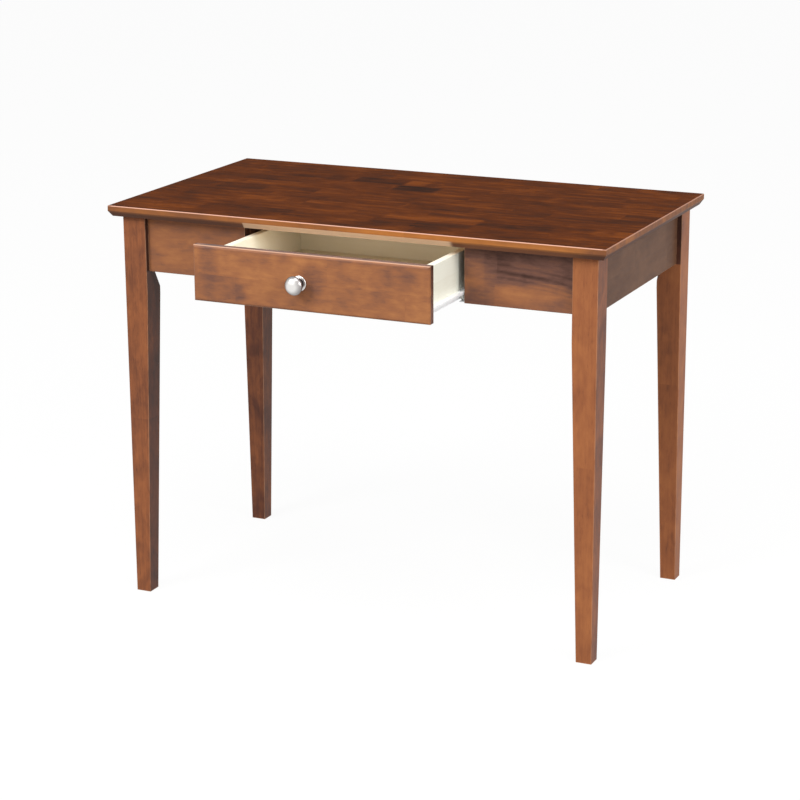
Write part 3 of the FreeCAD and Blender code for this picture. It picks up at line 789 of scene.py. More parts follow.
        # The strip: painted bounce light from the open drawer, on the bevel above the drawer box's width.
        front = (ground.place[Axis.Y] - ground.low.y).fall(*self.bounce_strip_depth)
        strip = drop.rise(*self.bounce_strip_drop) * front * x.rise(*self.bounce_strip_start) * x.fall(*self.bounce_strip_end)
        share = self.bounce_strip_share + self.bounce_strip_gain * x.rise(*self.bounce_gain_span)
        colour = shader.mix(strip * share, colour, pale)
        inside = ground.inset(Axis.X).lower(ground.inset(Axis.Y)).rise(*self.inside_span)
        below = (ground.place[Axis.Z] - ground.low.z).fall(*self.under_span)
        return shader.mix(inside * below, colour, pale)


@dataclass(frozen=True)
class BareWood(WoodFinish):
    """Planed timber without stain."""

    family: str = "bare_wood"
    dark: Tint = Tint(176, 136, 92)
    body: Tint = Tint(205, 168, 122)
    light: Tint = Tint(224, 192, 150)
    grain: Grain = Grain(blotch_share=0.5, cloud_share=0.3)

    def colour(self, ground: Ground) -> Socket:
        """Return the colour of the timber."""
        return ground.shader.ramp(ground.tone, [(0.1, self.dark), (0.5, self.body), (0.9, self.light)])


@dataclass(frozen=True)
class CreamLacquer(WoodFinish):
    """Pale lacquer over plain timber: creamy inside the drawer and whiter on its outer faces."""

    family: str = "cream_lacquer"
    inside: Tint = Tint(253, 248, 230)
    inside_dark: Tint = Tint(248, 241, 219)
    outside: Tint = Tint(245, 246, 232)
    outside_dark: Tint = Tint(236, 234, 216)
    half_width: float = 0.1905
    skin: Pair = (0.0004, 0.0012)
    clean_span: Pair = (0.2, 0.6)
    roughness: float = 0.42
    gloss: float = 0.3
    relief: float = 0.00003
    grain: Grain = Grain(stave_share=0.0, blotch_share=0.4, cloud_share=0.2, pore_share=0.1)

    def colour(self, ground: Ground) -> Socket:
        """Colour a board of the drawer.

        Args:
            ground: The board.

        Returns:
            The colour.
        """
        shader, clean = ground.shader, ground.tone.rise(*self.clean_span)
        outer = (self.half_width - abs(ground.place[Axis.X])).fall(*self.skin)
        inside = shader.mix(clean, self.inside_dark, self.inside)
        return shader.mix(outer, inside, shader.mix(clean, self.outside_dark, self.outside))


@dataclass(frozen=True)
class Dressing:
    """A made finish and the record's slot for it."""

    slot: Slot
    material: Material


@dataclass(frozen=True)
class Coat:
    """A finish of metal or plastic with soft unevenness; clouds and pebbles are counted to the metre."""

    name: str
    slot: Slot
    body: Tint
    shade: Tint
    metal: float
    roughness: float
    spread: float
    clouds: float
    pebbles: float
    relief: float
    cloud_span: Pair = (0.3, 0.7)

    def make(self) -> Dressing:
        """Make the finish.

        Returns:
            The finish with its slot.
        """
        shader, made = Shader.material(self.name)
        place = shader.place()
        cloud = shader.clouds(place, self.clouds, 3.0)
        shader.surface({
            "Base Color": shader.mix(cloud.rise(*self.cloud_span), self.shade, self.body),
            "Metallic": self.metal,
            "Roughness": self.roughness + self.spread * (cloud - 0.5),
            "Normal": shader.bump(shader.clouds(place, self.pebbles), self.relief),
        })
        return Dressing(self.slot, made)


POWDER_COAT = Coat(
    "white_powder_coat", Slot.SLIDE, body=Tint(250, 251, 252), shade=Tint(242, 244, 246), metal=0.0,
    roughness=0.34, spread=0.1, clouds=60.0, pebbles=1400.0, relief=0.00004)
NYLON = Coat(
    "white_nylon", Slot.NYLON, body=Tint(238, 237, 230), shade=Tint(222, 220, 210), metal=0.0,
    roughness=0.42, spread=0.1, clouds=160.0, pebbles=2600.0, relief=0.00002)
ZINC = Coat(
    "zinc_plate", Slot.STEEL, body=Tint(196, 196, 190), shade=Tint(158, 160, 160), metal=1.0,
    roughness=0.34, spread=0.2, clouds=420.0, pebbles=2400.0, relief=0.00002)


@dataclass(frozen=True)
class SatinNickel:
    """Turned nickel with fine rings round its axis, with painted shade round its rim and in its neck."""

    bright: Tint = Tint(232, 229, 226)
    # Painted shade: the second tint darkens the rim, the third the neck.
    rim_shade: Tint = Tint(146, 141, 140)
    neck_shade: Tint = Tint(46, 42, 43)
    roughness: float = 0.3
    ring: float = 0.0007
    relief: float = 0.000002
    reach: float = 0.016
    rim_span: Pair = (0.35, 1.0)
    clouds: float = 110.0
    flange_span: Pair = (0.0026, 0.0034)
    flange_loss: float = 0.7
    # Painted shade in the neck, between head and flange.
    neck_span: Pair = (0.0160, 0.0175)
    neck_rim_shade: float = 0.55

    def make(self, centre: Vector) -> Dressing:
        """Make the finish for a piece turned about an axis along Y.

        Args:
            centre: The point on the axis where the piece starts.

        Returns:
            The finish with its slot.
        """
        shader, made = Shader.material("satin_nickel")
        place = shader.place()
        dx, dz, out = place[Axis.X] - centre.x, place[Axis.Z] - centre.z, centre.y - place[Axis.Y]
        radius = shader.math("SQRT", dx * dx + dz * dz)
        turn = shader.noise(shader.vector(radius / self.ring, place[Axis.Y] / self.ring, 0.0))
        cloud = shader.clouds(place, self.clouds)
        # Painted shade round the rim, weaker on the flange; the neck takes a fixed share of it.
        painted_rim = (radius / self.reach).rise(*self.rim_span) + 0.15 * (cloud - 0.5)
        flange = out.fall(*self.flange_span)
        neck = out.fall(*self.neck_span) * (1.0 - flange)
        rim_shading = painted_rim + (self.neck_rim_shade - painted_rim) * neck - self.flange_loss * painted_rim * flange
        shader.surface({
            # Painted shade in the neck, over the painted rim shade.
            "Base Color": shader.mix(neck, shader.mix(rim_shading, self.bright, self.rim_shade), self.neck_shade),
            "Metallic": 1.0,
            "Roughness": self.roughness + 0.05 * (turn - 0.5) + 0.06 * (cloud - 0.5),
            "Normal": shader.bump(turn, self.relief),
        })
        return Dressing(Slot.KNOB, made)


def deselect() -> None:
    """Deselect every object."""
    bpy.ops.object.select_all(action="DESELECT")


def select(*pieces: Piece) -> None:
    """Select some pieces alone.

    Args:
        pieces: The pieces, the first of which becomes active.
    """
    deselect()
    for piece in pieces:
        piece.select_set(True)
    bpy.context.view_layer.objects.active = pieces[0]


def pick(piece: Piece, part: MeshPart, wanted: Callable[[list[Vector]], bool]) -> None:
    """Select some edges or faces of a piece in edit mode.

    Args:
        piece: The piece.
        part: What is selected.
        wanted: Says from its corners whether one of them is selected.
    """
    bpy.ops.mesh.select_all(action="DESELECT")
    bpy.ops.object.mode_set(mode="OBJECT")
    for item in getattr(piece.data, part.value):
        item.select = wanted([piece.data.vertices[n].co for n in item.vertices])
    bpy.ops.object.mode_set(mode="EDIT")
    bpy.ops.mesh.select_mode(type=part.name)


def close_up() -> None:
    """Merge the doubles of the piece in edit mode, point its faces outwards and leave edit mode."""
    bpy.ops.mesh.select_all(action="SELECT")
    bpy.ops.mesh.remove_doubles(threshold=1e-6)
    bpy.ops.mesh.normals_make_consistent(inside=False)
    bpy.ops.object.mode_set(mode="OBJECT")


def settle(piece: Piece) -> None:
    """Put a piece's place into its mesh and shade its round faces smooth.

    Args:
        piece: The piece.
    """
    select(piece)
    bpy.ops.object.transform_apply(location=True, rotation=True, scale=True)
    bpy.ops.object.shade_smooth_by_angle(angle=SMOOTH_ANGLE)


def turned(name: str, profile: Sequence[Pair], segments: int, bored: bool = False) -> Piece:
    """Turn a piece about +Z, ring by ring.

    Args:
        name: The piece's name.
        profile: Radius and height of each ring, in millimetres.
        segments: How many corners a ring has.
        bored: Whether the profile runs back to its first ring, round a bore.

    Returns:
        The piece.
    """
    deselect()
    radius, level = profile[0]
    fill = "NOTHING" if bored else "NGON"
    bpy.ops.mesh.primitive_circle_add(
        vertices=segments, radius=radius * MM, fill_type=fill, location=(0, 0, level * MM))
    piece = bpy.context.object
    piece.name = name
    bpy.ops.object.mode_set(mode="EDIT")
    bpy.ops.mesh.select_mode(type="VERT")
    bpy.ops.mesh.select_all(action="SELECT")
    for new_radius, new_level in profile[1:]:
        step, ratio = (new_level - level) * MM, new_radius / radius
        bpy.ops.mesh.extrude_region_move(TRANSFORM_OT_translate={"value": (0, 0, step)})
        bpy.ops.transform.resize(value=(ratio, ratio, 1), center_override=(0, 0, new_level * MM))
        radius, level = new_radius, new_level
    close_up()
    settle(piece)
    return piece


def modify(piece: Piece, kind: str, **settings: Any) -> None:
    """Give a piece a modifier and apply it.

    Args:
        piece: The piece.
        kind: The modifier's type.
        settings: Its properties.
    """
    select(piece)
    modifier = piece.modifiers.new(kind.lower(), kind)
    for key, setting in settings.items():
        setattr(modifier, key, setting)
    bpy.ops.object.modifier_apply(modifier=modifier.name)


def duplicate(piece: Piece, name: str) -> Piece:
    """Copy a piece with a mesh of its own.

    Args:
        piece: The piece.
        name: The copy's name.

    Returns:
        The copy.
    """
    made = piece.copy()
    made.data = piece.data.copy()
    made.name = name
    bpy.context.scene.collection.objects.link(made)
    return made


def stand(piece: Piece, spot: Sequence[float], along: Sequence[float]) -> Piece:
    """Move a piece that was made upright to its place.

    Args:
        piece: The piece.
        spot: Where its origin comes, in millimetres.
        along: The direction that its +Z takes.

    Returns:
        The piece, with its place in its mesh.
    """
    turn = Vector(along).to_track_quat("Z", "Y").to_matrix().to_4x4()
    piece.matrix_world = Matrix.Translation(Vector(spot) * MM) @ turn
    bpy.context.view_layer.update()
    select(piece)
    bpy.ops.object.transform_apply(location=True, rotation=True, scale=True)
    return piece


def set_out(pattern: Piece, name: str, places: Sequence[Place]) -> Piece:
    """Copy a pattern to each of its places and join the copies.

    Args:
        pattern: The piece to copy, which is removed afterwards.
        name: The name of the joined piece.
        places: Spot in millimetres and direction of each copy.

    Returns:
        The joined piece.
    """
    copies = [stand(duplicate(pattern, f"{name}_{n}"), *place) for n, place in enumerate(places)]
    bpy.data.objects.remove(pattern)
    select(*copies)
    if len(copies) > 1:
        bpy.ops.object.join()
    copies[0].name = name
    return copies[0]


def dress(node: str, material: Material) -> None:
    """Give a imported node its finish.

    Args:
        node: The node's name.
        material: The finish.
    """
    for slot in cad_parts[node].material_slots:
        slot.material = material
    log.info("%s: %s", node, material.name)


def hand_in(piece: Piece, body: str, node: str, dressing: Dressing) -> None:
    """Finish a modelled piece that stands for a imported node.

    Args:
        piece: The piece.
        body: The body that it moves with.
        node: The node that it stands for.
        dressing: The finish with its slot.
    """
    piece.data.materials.clear()
    piece.data.materials.append(dressing.material)
    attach(piece, body)
    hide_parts(node)
    log.info("%s: %d faces, for %s", piece.name, len(piece.data.polygons), node)


@dataclass(frozen=True)
class Screw:
    """A screw with a domed head and a cross slot, in millimetres."""

    head: float
    rise: float
    shank: float
    length: float
    dome: tuple[Pair, ...] = ((0.30, 0.0), (0.62, 0.12), (0.9, 0.45), (1.0, 0.8), (1.0, 1.0))
    pitch: float = 1.6
    root: float = 0.78
    point: float = 3.0
    slot_length: float = 0.55
    slot_width: float = 0.13
    slot_depth: float = 0.6

    def model(self) -> Piece:
        """Model the screw, its head down and its point along +Z.

        Returns:
            The screw.
        """
        wide, thin, root = self.head / 2, self.shank / 2, self.root * self.shank / 2
        profile = [(wide * out, self.rise * up) for out, up in self.dome] + [(thin, self.rise)]
        level = self.rise + 1.0
        while level < self.length - self.point - 0.6:
            profile += [(root, level), (thin, level + 0.6)]
            level += self.pitch
        profile += [(root, self.length - self.point), (thin * 0.1, self.length)]
        screw = turned("screw", profile, 24)
        deselect()
        bpy.ops.mesh.primitive_cube_add(size=1, location=(0, 0, 0))
        slot = bpy.context.object
        bpy.ops.object.mode_set(mode="EDIT")
        length, width = self.slot_length * self.head, self.slot_width * self.head
        bpy.ops.transform.resize(value=(length * MM, width * MM, 2 * self.slot_depth * self.rise * MM))
        bpy.ops.mesh.duplicate()
        bpy.ops.transform.rotate(value=math.pi / 2, orient_axis="Z", center_override=(0, 0, 0))
        bpy.ops.object.mode_set(mode="OBJECT")
        modify(screw, "BOOLEAN", operation="DIFFERENCE", object=slot, solver="EXACT", use_self=True)
        bpy.data.objects.remove(slot)
        settle(screw)
        return screw

    def fit(self, name: str, body: str, node: str, steel: Dressing, places: Sequence[Place]) -> None:
        """Set screws of this size at their places, as one piece that stands for a node."""
        hand_in(set_out(self.model(), name, places), body, node, steel)


@dataclass
class Desktop:
    """The glued-up top."""

    board: Board = Board("desktop", Axis.X, Axis.Y, 1.0, marks=(
        Stave(-0.168, -0.066, 0.1154, 0.1616, -0.30), Stave(-0.067, 0.014, 0.0693, 0.1154, -0.36),
        Stave(-0.222, -0.190, 0.1154, 0.1616, -0.16), Stave(0.020, 0.142, -0.0693, -0.0231, -0.20),
        Stave(0.193, 0.393, -0.1616, -0.1154, -0.18), Stave(-0.307, -0.137, -0.2078, -0.1616, -0.18),
        Stave(0.014, 0.193, -0.2078, -0.1616, -0.14), Stave(-0.457, -0.280, -0.0231, 0.0231, -0.14),
        Stave(-0.066, -0.026, 0.1154, 0.1616, 0.20), Stave(0.023, 0.193, -0.1616, -0.1154, 0.16),
        Stave(-0.280, -0.195, -0.1154, -0.0693, 0.16)))
    stain: TopStain = TopStain()

    def build(self) -> None:
        """Dress the top."""
        dress(self.board.node, self.stain.on(self.board))


@dataclass
class LegFrame:
    """Legs, aprons, rails and corner blocks; a leg's or block's seed counts on from its first one."""

    stain: StainedWood = StainedWood()
    side_stain: StainedWood = StainedWood(deep=Tint(109, 77, 57), gloss=0.1)
    leg_stain: LegStain = LegStain()
    bare: BareWood = BareWood()
    legs: tuple[tuple[str, float], ...] = (
        ("front_left", -0.09), ("front_right", 0.06), ("back_left", 0.08), ("back_right", 0.30))
    leg_seed: float = 11.0
    block_seed: float = 21.0
    aprons: tuple[Board, ...] = (
        Board("apron_front_left", Axis.X, Axis.Z, 2.0, -0.04, contrast=0.7),
        # Patch(0.296, 0.700, ...) is a painted shadow under the desktop's overhang, on the apron's upper
        # part; the flames, stave and other patches are grain and stain.
        Board("apron_front_right", Axis.X, Axis.Z, 3.0, -0.10, (
            Flame(0.238, 0.653, 0.62, 0.006, -0.16), Flame(0.232, 0.664, 0.50, 0.004, -0.09),
            Flame(0.250, 0.643, 0.74, 0.004, -0.10), Flame(0.262, 0.634, 0.80, 0.003, -0.07),
            Stave(0.190, 0.238, 0.590, 0.700, 0.04, 0.002), Patch(0.330, 0.640, 0.120, 0.024, -0.10),
            Patch(0.296, 0.700, 0.170, 0.075, -0.26), Patch(0.262, 0.668, 0.034, 0.020, -0.08),
            Patch(0.310, 0.618, 0.070, 0.022, 0.12), Patch(0.210, 0.600, 0.040, 0.026, -0.14)), contrast=0.7),
        Board("apron_back", Axis.X, Axis.Z, 4.0, contrast=0.7),
    )
    # The side aprons' lower tones are painted shade, for side faces that get less light.
    sides: tuple[Board, ...] = (
        Board("apron_left", Axis.Y, Axis.Z, 5.0, -0.26, contrast=0.3),
        Board("apron_right", Axis.Y, Axis.Z, 6.0, -0.33, contrast=0.3),
    )
    # The runner rails' dark tone is painted shade, for the dark hollow beside the drawer.
    rails: tuple[Board, ...] = (
        Board("runner_rail_left", Axis.Y, Axis.Z, 7.0, -0.42, contrast=0.4),
        Board("runner_rail_right", Axis.Y, Axis.Z, 8.0, -0.42, contrast=0.4),
    )
    dowels: Board = Board("rail_dowels", Axis.Y, Axis.Z, 9.0)

    def build(self) -> None:
        """Dress the boards, each with its own timber; the low tones of the side aprons and rails are painted
        shade.
        """
        for number, (corner, tone) in enumerate(self.legs):
            leg = Board(f"leg_{corner}", Axis.Z, Axis.X, self.leg_seed + number, tone)
            dress(leg.node, self.leg_stain.on(leg))
            block = Board(f"corner_block_{corner}", Axis.X, Axis.Z, self.block_seed + number)
            dress(block.node, self.bare.on(block))
        for board in self.aprons + self.rails:
            dress(board.node, self.stain.on(board))
        for board in self.sides:
            dress(board.node, self.side_stain.on(board))
        dress(self.dowels.node, self.bare.on(self.dowels))


@dataclass
class Fasteners:
    """Bolts, nuts, washers and screws of the frame, in millimetres; a spot is that at the right back."""

    steel: Dressing
    body: str = "desk_frame"
    corners: tuple[tuple[int, int], ...] = ((-1, -1), (1, -1), (1, 1), (-1, 1))
    bolt_spot: Pair = (375.2, 172.2)
    bolt_level: float = 662.0
    bolt_radius: float = 4.0
    bolt_length: float = 72.0
    bolt_point: Pair = (1.2, 5.0)
    thread: float = 1.25
    thread_depth: float = 0.6
    thread_start: float = 1.2
    thread_end: float = 22.0
    nut_spot: Pair = (381.05, 178.05)
    nut_radius: float = 7.3
    nut_height: float = 6.5
    nut_chamfer: Pair = (1.2, 0.9)
    cutter_turn: float = 0.06
    washer_spot: Pair = (383.95, 180.95)
    washer_radius: float = 10.0
    washer_height: float = 1.6
    block_screw: Screw = Screw(8.0, 2.6, 4.0, 20.1)
    end_spot: Pair = (372.0, 198.9)
    side_spot: Pair = (401.9, 169.0)
    wing_levels: Pair = (646.0, 678.0)
    top_screw: Screw = Screw(8.0, 2.6, 4.0, 52.6)
    top_spot: Pair = (386.0, 199.0)
    top_level: float = 651.4

    def build(self) -> None:
        """Model and place the metal parts of the four corners."""
        self.bolts()
        self.nuts()
        self.washers()
        self.screws()

    def at_corners(self, spot: Pair) -> list[Place]:
        """Return a spot on the bolts' level in each corner, with the direction out to the leg."""
        return [((sx * spot[0], sy * spot[1], self.bolt_level), (sx, sy, 0)) for sx, sy in self.corners]

    def bolts(self) -> None:
        """Turn the threaded bolts, their free ends towards the middle of the desk."""
        crest, root, lead = self.bolt_radius, self.bolt_radius - self.thread_depth, 0.8
        profile = [(root - lead, 0.0), (root, lead)]
        level = self.thread_start
        while level < self.thread_end:
            profile += [(root, level), (crest, level + self.thread / 2)]
            level += self.thread
        tip, tip_length = self.bolt_point
        profile += [(root, level), (crest, level + self.thread_depth)]
        profile += [(crest, self.bolt_length - tip_length), (tip, self.bolt_length)]
        made = set_out(turned("bolt", profile, 24), "threaded_bolts", self.at_corners(self.bolt_spot))
        hand_in(made, self.body, "hanger_bolts", self.steel)

    def nuts(self) -> None:
        """Make the hexagon nuts, chamfered and bored by turned cutters."""
        deselect()
        bpy.ops.mesh.primitive_cylinder_add(
            vertices=6, radius=self.nut_radius * MM, depth=self.nut_height * MM, location=(0, 0, 0))
        nut = bpy.context.object
        half, (inward, down) = self.nut_height / 2, self.nut_chamfer
        narrow, wide, bore = self.nut_radius - inward, self.nut_radius + 0.1, self.bolt_radius - 0.3
        cone = [(narrow, -half - 0.01), (wide, down - half), (wide, half - down), (narrow, half + 0.01)]
        hole = [(bore, -half - 1.0), (bore, half + 1.0)]
        for operation, profile in (("INTERSECT", cone), ("DIFFERENCE", hole)):
            cutter = turned("cutter", profile, 48)
            cutter.rotation_euler.z = self.cutter_turn
            settle(cutter)
            modify(nut, "BOOLEAN", operation=operation, object=cutter, solver="EXACT")
            bpy.data.objects.remove(cutter)
        settle(nut)
        made = set_out(nut, "hex_nuts", self.at_corners(self.nut_spot))
        hand_in(made, self.body, "bolt_nuts", self.steel)

    def washers(self) -> None:
        """Turn the washers."""
        outer, half, bore, arris = self.washer_radius, self.washer_height / 2, self.bolt_radius + 0.1, 0.3
        ring = [(bore, -half), (outer - arris, -half), (outer, arris - half), (outer, half - arris),
                (outer - arris, half), (bore + 0.2, half), (bore, half - 0.2), (bore, -half)]
        pattern = turned("washer", ring, 40, bored=True)
        made = set_out(pattern, "plain_washers", self.at_corners(self.washer_spot))
        hand_in(made, self.body, "bolt_washers", self.steel)

    def screws(self) -> None:
        """Set the screws of the corner blocks and the top."""
        (end_x, end_y), (side_x, side_y), (top_x, top_y) = self.end_spot, self.side_spot, self.top_spot
        spots = [(sx, sy, z) for sx, sy in self.corners for z in self.wing_levels]
        wing = [((sx * end_x, sy * end_y, z), (0, sy, 0)) for sx, sy, z in spots]
        wing += [((sx * side_x, sy * side_y, z), (sx, 0, 0)) for sx, sy, z in spots]
        self.block_screw.fit("block_screws", self.body, "corner_block_screws", self.steel, wing)
        up = [((sx * top_x, sy * top_y, self.top_level), (0, 0, 1)) for sx, sy in self.corners]
        self.top_screw.fit("top_screws", self.body, "desktop_screws", self.steel, up)


@dataclass
class Drawer:
    """The drawer's front board and its cream box; screws are placed in millimetres."""

    steel: Dressing
    stain: FrontStain = FrontStain()
    lacquer: CreamLacquer = CreamLacquer()
    # Patch(0.006, 0.648, ...) is a painted shadow of the knob, to its right; the other patches are stain.
    front: Board = Board("drawer_front", Axis.X, Axis.Z, 31.0, 0.05, (
        Patch(-0.184, 0.660, 0.024, 0.046, -0.17), Patch(-0.128, 0.614, 0.016, 0.022, -0.10),
        Patch(-0.060, 0.676, 0.036, 0.022, -0.08), Patch(0.006, 0.648, 0.030, 0.030, -0.12),
        Patch(0.071, 0.638, 0.040, 0.034, -0.10), Patch(0.130, 0.650, 0.028, 0.044, -0.12),
        Patch(0.161, 0.666, 0.040, 0.026, -0.12), Patch(0.200, 0.640, 0.024, 0.060, 0.08),
        Patch(-0.090, 0.636, 0.050, 0.040, 0.10), Patch(-0.165, 0.626, 0.060, 0.050, -0.10)), contrast=0.7)
    box: tuple[Board, ...] = (
        Board("drawer_box_front", Axis.X, Axis.Z, 32.0),
        Board("drawer_back", Axis.X, Axis.Z, 33.0),
        Board("drawer_side_left", Axis.Y, Axis.Z, 34.0),
        Board("drawer_side_right", Axis.Y, Axis.Z, 35.0),
        Board("drawer_dowels", Axis.X, Axis.Z, 37.0),
    )
    panel: Board = Board("drawer_bottom", Axis.X, Axis.Y, 36.0)
    panel_lacquer: CreamLacquer = CreamLacquer(inside=Tint(247, 240, 220), inside_dark=Tint(238, 229, 205))
    screw: Screw = Screw(8.0, 2.6, 4.0, 24.6)
    screw_x: float = 130.0
    screw_y: float = -357.4
    screw_levels: Pair = (636.3, 661.0)

    def build(self) -> None:
        """Dress the boards and set the screws of the front."""
        dress(self.front.node, self.stain.on(self.front))
        for board in self.box:
            dress(board.node, self.lacquer.on(board))
        dress(self.panel.node, self.panel_lacquer.on(self.panel))
        places = [((side.value * self.screw_x, self.screw_y, z), (0, -1, 0))
                  for side in Side for z in self.screw_levels]
        self.screw.fit("front_screws", "drawer", "drawer_front_screws", self.steel, places)


@dataclass
class Knob:
    """The turned knob and its screw, in millimetres; the profile gives radius and distance from the front."""

    steel: Dressing
    finish: SatinNickel = SatinNickel()
    spot: tuple[float, float, float] = (-17.0, -388.0, 642.0)
    profile: tuple[Pair, ...] = (
        (12.0, 0.0), (13.0, 0.5), (13.0, 1.7), (12.3, 2.4), (8.6, 3.1), (6.4, 5.0), (5.5, 8.6), (5.6, 12.4),
        (7.2, 14.8), (11.2, 16.8), (15.0, 18.2), (16.0, 19.4), (16.0, 20.6), (15.1, 22.8), (12.4, 25.6),
        (8.2, 27.9), (3.5, 28.9), (1.2, 29.0))
    screw: Screw = Screw(8.0, 2.6, 4.0, 40.6)
    screw_y: float = -357.4

    def build(self) -> None:
        """Turn the knob and set its screw."""
        knob = turned("knob", self.profile, 32)
        modify(knob, "SUBSURF", levels=2, render_levels=2)
        settle(knob)
        made = set_out(knob, "turned_knob", [(self.spot, (0, -1, 0))])
        hand_in(made, "drawer", "drawer_knob", self.finish.make(Vector(self.spot) * MM))
        place = ((self.spot[0], self.screw_y, self.spot[2]), (0, -1, 0))
        self.screw.fit("knob_bolt", "drawer", "knob_screw", self.steel, [place])


@dataclass
class Slides:
    """Roller slides: folded strips, rollers, axles and screws, in millimetres; a line gives X and Z."""

    steel: Dressing
    coat: Dressing
    nylon: Dressing
    gauge: float = 1.2
    length: float = 300.0
    arris: float = 0.35
    runner_front: float = -369.0
    runner_line: tuple[Pair, ...] = (
        (179.5, 599.4), (191.1, 599.4), (191.1, 612.4), (200.3, 612.4), (200.3, 608.0))
    rail_front: float = -223.0
    rail_line: tuple[Pair, ...] = ((192.6, 595.6), (202.4, 595.6), (202.4, 614.4), (192.6, 614.4))
    notch: float = 24.0
    rollers: tuple[tuple[str, float], ...] = (("front", -213.0), ("rear", -79.0))
    roller_x: float = 192.9
    roller_level: float = 604.0
    roller_ring: tuple[Pair, ...] = (
        (2.55, 0.0), (3.8, 0.0), (4.2, 0.6), (5.9, 0.6), (6.3, 0.05), (6.9, 0.0), (7.3, 0.25), (7.5, 0.8),
        (7.5, 5.0), (7.3, 5.55), (6.9, 5.8), (6.3, 5.75), (5.9, 5.2), (4.2, 5.2), (3.8, 5.8), (2.55, 5.8),
        (2.55, 0.0))
    screw_spots: Pair = (40.0, 260.0)
    rail_screw: Screw = Screw(7.0, 1.8, 3.5, 17.0)
    rail_screw_x: float = 200.0
    runner_screw: Screw = Screw(7.0, 1.8, 3.5, 12.0)
    runner_screw_x: float = 184.5
    runner_screw_level: float = 597.0

    def build(self) -> None:
        """Fold the strips, turn the rollers, dress the axles and set the screws."""
        for side in Side:
            name = side.name.lower()
            runner = self.folded(f"folded_runner_{name}", self.runner_line, self.runner_front, side)
            hand_in(runner, "drawer", f"slide_runner_{name}", self.coat)
            rail = self.folded(f"folded_rail_{name}", self.rail_line, self.rail_front, side, self.notch)
            hand_in(rail, "desk_frame", f"slide_rail_{name}", self.coat)
        self.turn_rollers()
        self.screws()

    def turn_rollers(self) -> None:
        """Turn one roller, copy it to its four axles and dress those."""
        tyre = turned("tyre", self.roller_ring, 56, bored=True)
        for end, y in self.rollers:
            for side in Side:
                name = side.name.lower()
                spot = (side.value * self.roller_x, y, self.roller_level)
                roller = stand(duplicate(tyre, f"tyre_{end}_{name}"), spot, (side.value, 0, 0))
                hand_in(roller, f"{end}_roller_{name}", f"roller_{end}_{name}", self.nylon)
            dress(f"{end}_roller_axles", self.steel.material)
        bpy.data.objects.remove(tyre)

    def screws(self) -> None:
        """Set the screws of the rails and the runners."""
        spots = [(side.value, along) for side in Side for along in self.screw_spots]
        level = [((sx * self.rail_screw_x, self.rail_front + along, self.roller_level), (sx, 0, 0))
                 for sx, along in spots]
        self.rail_screw.fit("rail_screws", "desk_frame", "slide_rail_screws", self.steel, level)
        up = [((sx * self.runner_screw_x, self.runner_front + along, self.runner_screw_level), (0, 0, 1))
              for sx, along in spots]
        self.runner_screw.fit("runner_screws", "drawer", "slide_runner_screws", self.steel, up)

    @staticmethod
    def runs_through(corner: Vector, spot: Pair) -> bool:
        """Say whether a corner lies on the long line through an X and Z."""
        return math.hypot(corner.x - spot[0] * MM, corner.z - spot[1] * MM) < TOUCH

    def folded(self, name: str, line: Sequence[Pair], front: float, side: Side,
               notch: float = 0.0) -> Piece:
        """Fold a strip of sheet along its middle line.

        Args:
            name: The piece's name.
            line: X and Z of the line's corners on the right side.
            front: The strip's front end.
            side: The side of the drawer that it is for.
            notch: How much of the last leaf is cut away at the front.

        Returns:
            The strip.
        """
        deselect()
        (x, z), (next_x, _) = line[0], line[1]
        bpy.ops.mesh.primitive_plane_add(size=1, location=(0, 0, 0))
        piece = bpy.context.object
        piece.name = name
        bpy.ops.object.mode_set(mode="EDIT")
        bpy.ops.transform.resize(value=((next_x - x) * MM, self.length * MM, 1))
        bpy.ops.transform.translate(value=((x + next_x) / 2 * MM, (front + self.length / 2) * MM, z * MM))
        for start, end in zip(line[1:], line[2:]):
            pick(piece, MeshPart.EDGE, lambda ends: all(self.runs_through(v, start) for v in ends))
            fold = ((end[0] - start[0]) * MM, 0, (end[1] - start[1]) * MM)
            bpy.ops.mesh.extrude_region_move(TRANSFORM_OT_translate={"value": fold})
        if notch:
            cut = (front + notch) * MM
            bpy.ops.mesh.select_all(action="SELECT")
            bpy.ops.mesh.bisect(plane_co=(0, cut, 0), plane_no=(0, 1, 0))
            pick(piece, MeshPart.FACE, lambda corners: max(v.y for v in corners) < cut + TOUCH and any(
                self.runs_through(v, line[-1]) for v in corners))
            bpy.ops.mesh.delete(type="FACE")
        close_up()
        modify(piece, "SOLIDIFY", thickness=self.gauge * MM, offset=0.0, use_even_offset=True)
        modify(piece, "BEVEL", width=self.arris * MM, segments=2, limit_method="ANGLE",
               angle_limit=SMOOTH_ANGLE)
        if side is Side.LEFT:
            piece.scale = (-1, 1, 1)
            settle(piece)
            bpy.ops.object.mode_set(mode="EDIT")
            close_up()
        settle(piece)
        return piece


@dataclass(frozen=True)
class Lamp:
    """A large soft lamp that looks at the desk; its turn counts to the right from straight in front."""

    name: str
    power: float
    size: float
    distance: float
    turn: float
    rise: float

    def hang(self, aim: Vector) -> None:
        """Put the lamp in the scene.

        Args:
            aim: The point that it looks at.
        """
        turn, rise = math.radians(self.turn), math.radians(self.rise)
        way = Vector((math.sin(turn) * math.cos(rise), -math.cos(turn) * math.cos(rise), math.sin(rise)))
        data = bpy.data.lights.new(self.name, "AREA")
        data.energy = self.power
        data.shape = "DISK"
        data.size = self.size
        lamp = bpy.data.objects.new(self.name, data)
        lamp.location = aim + way * self.distance
        lamp.rotation_euler = (-way).to_track_quat("-Z", "Y").to_euler()
        bpy.context.scene.collection.objects.link(lamp)


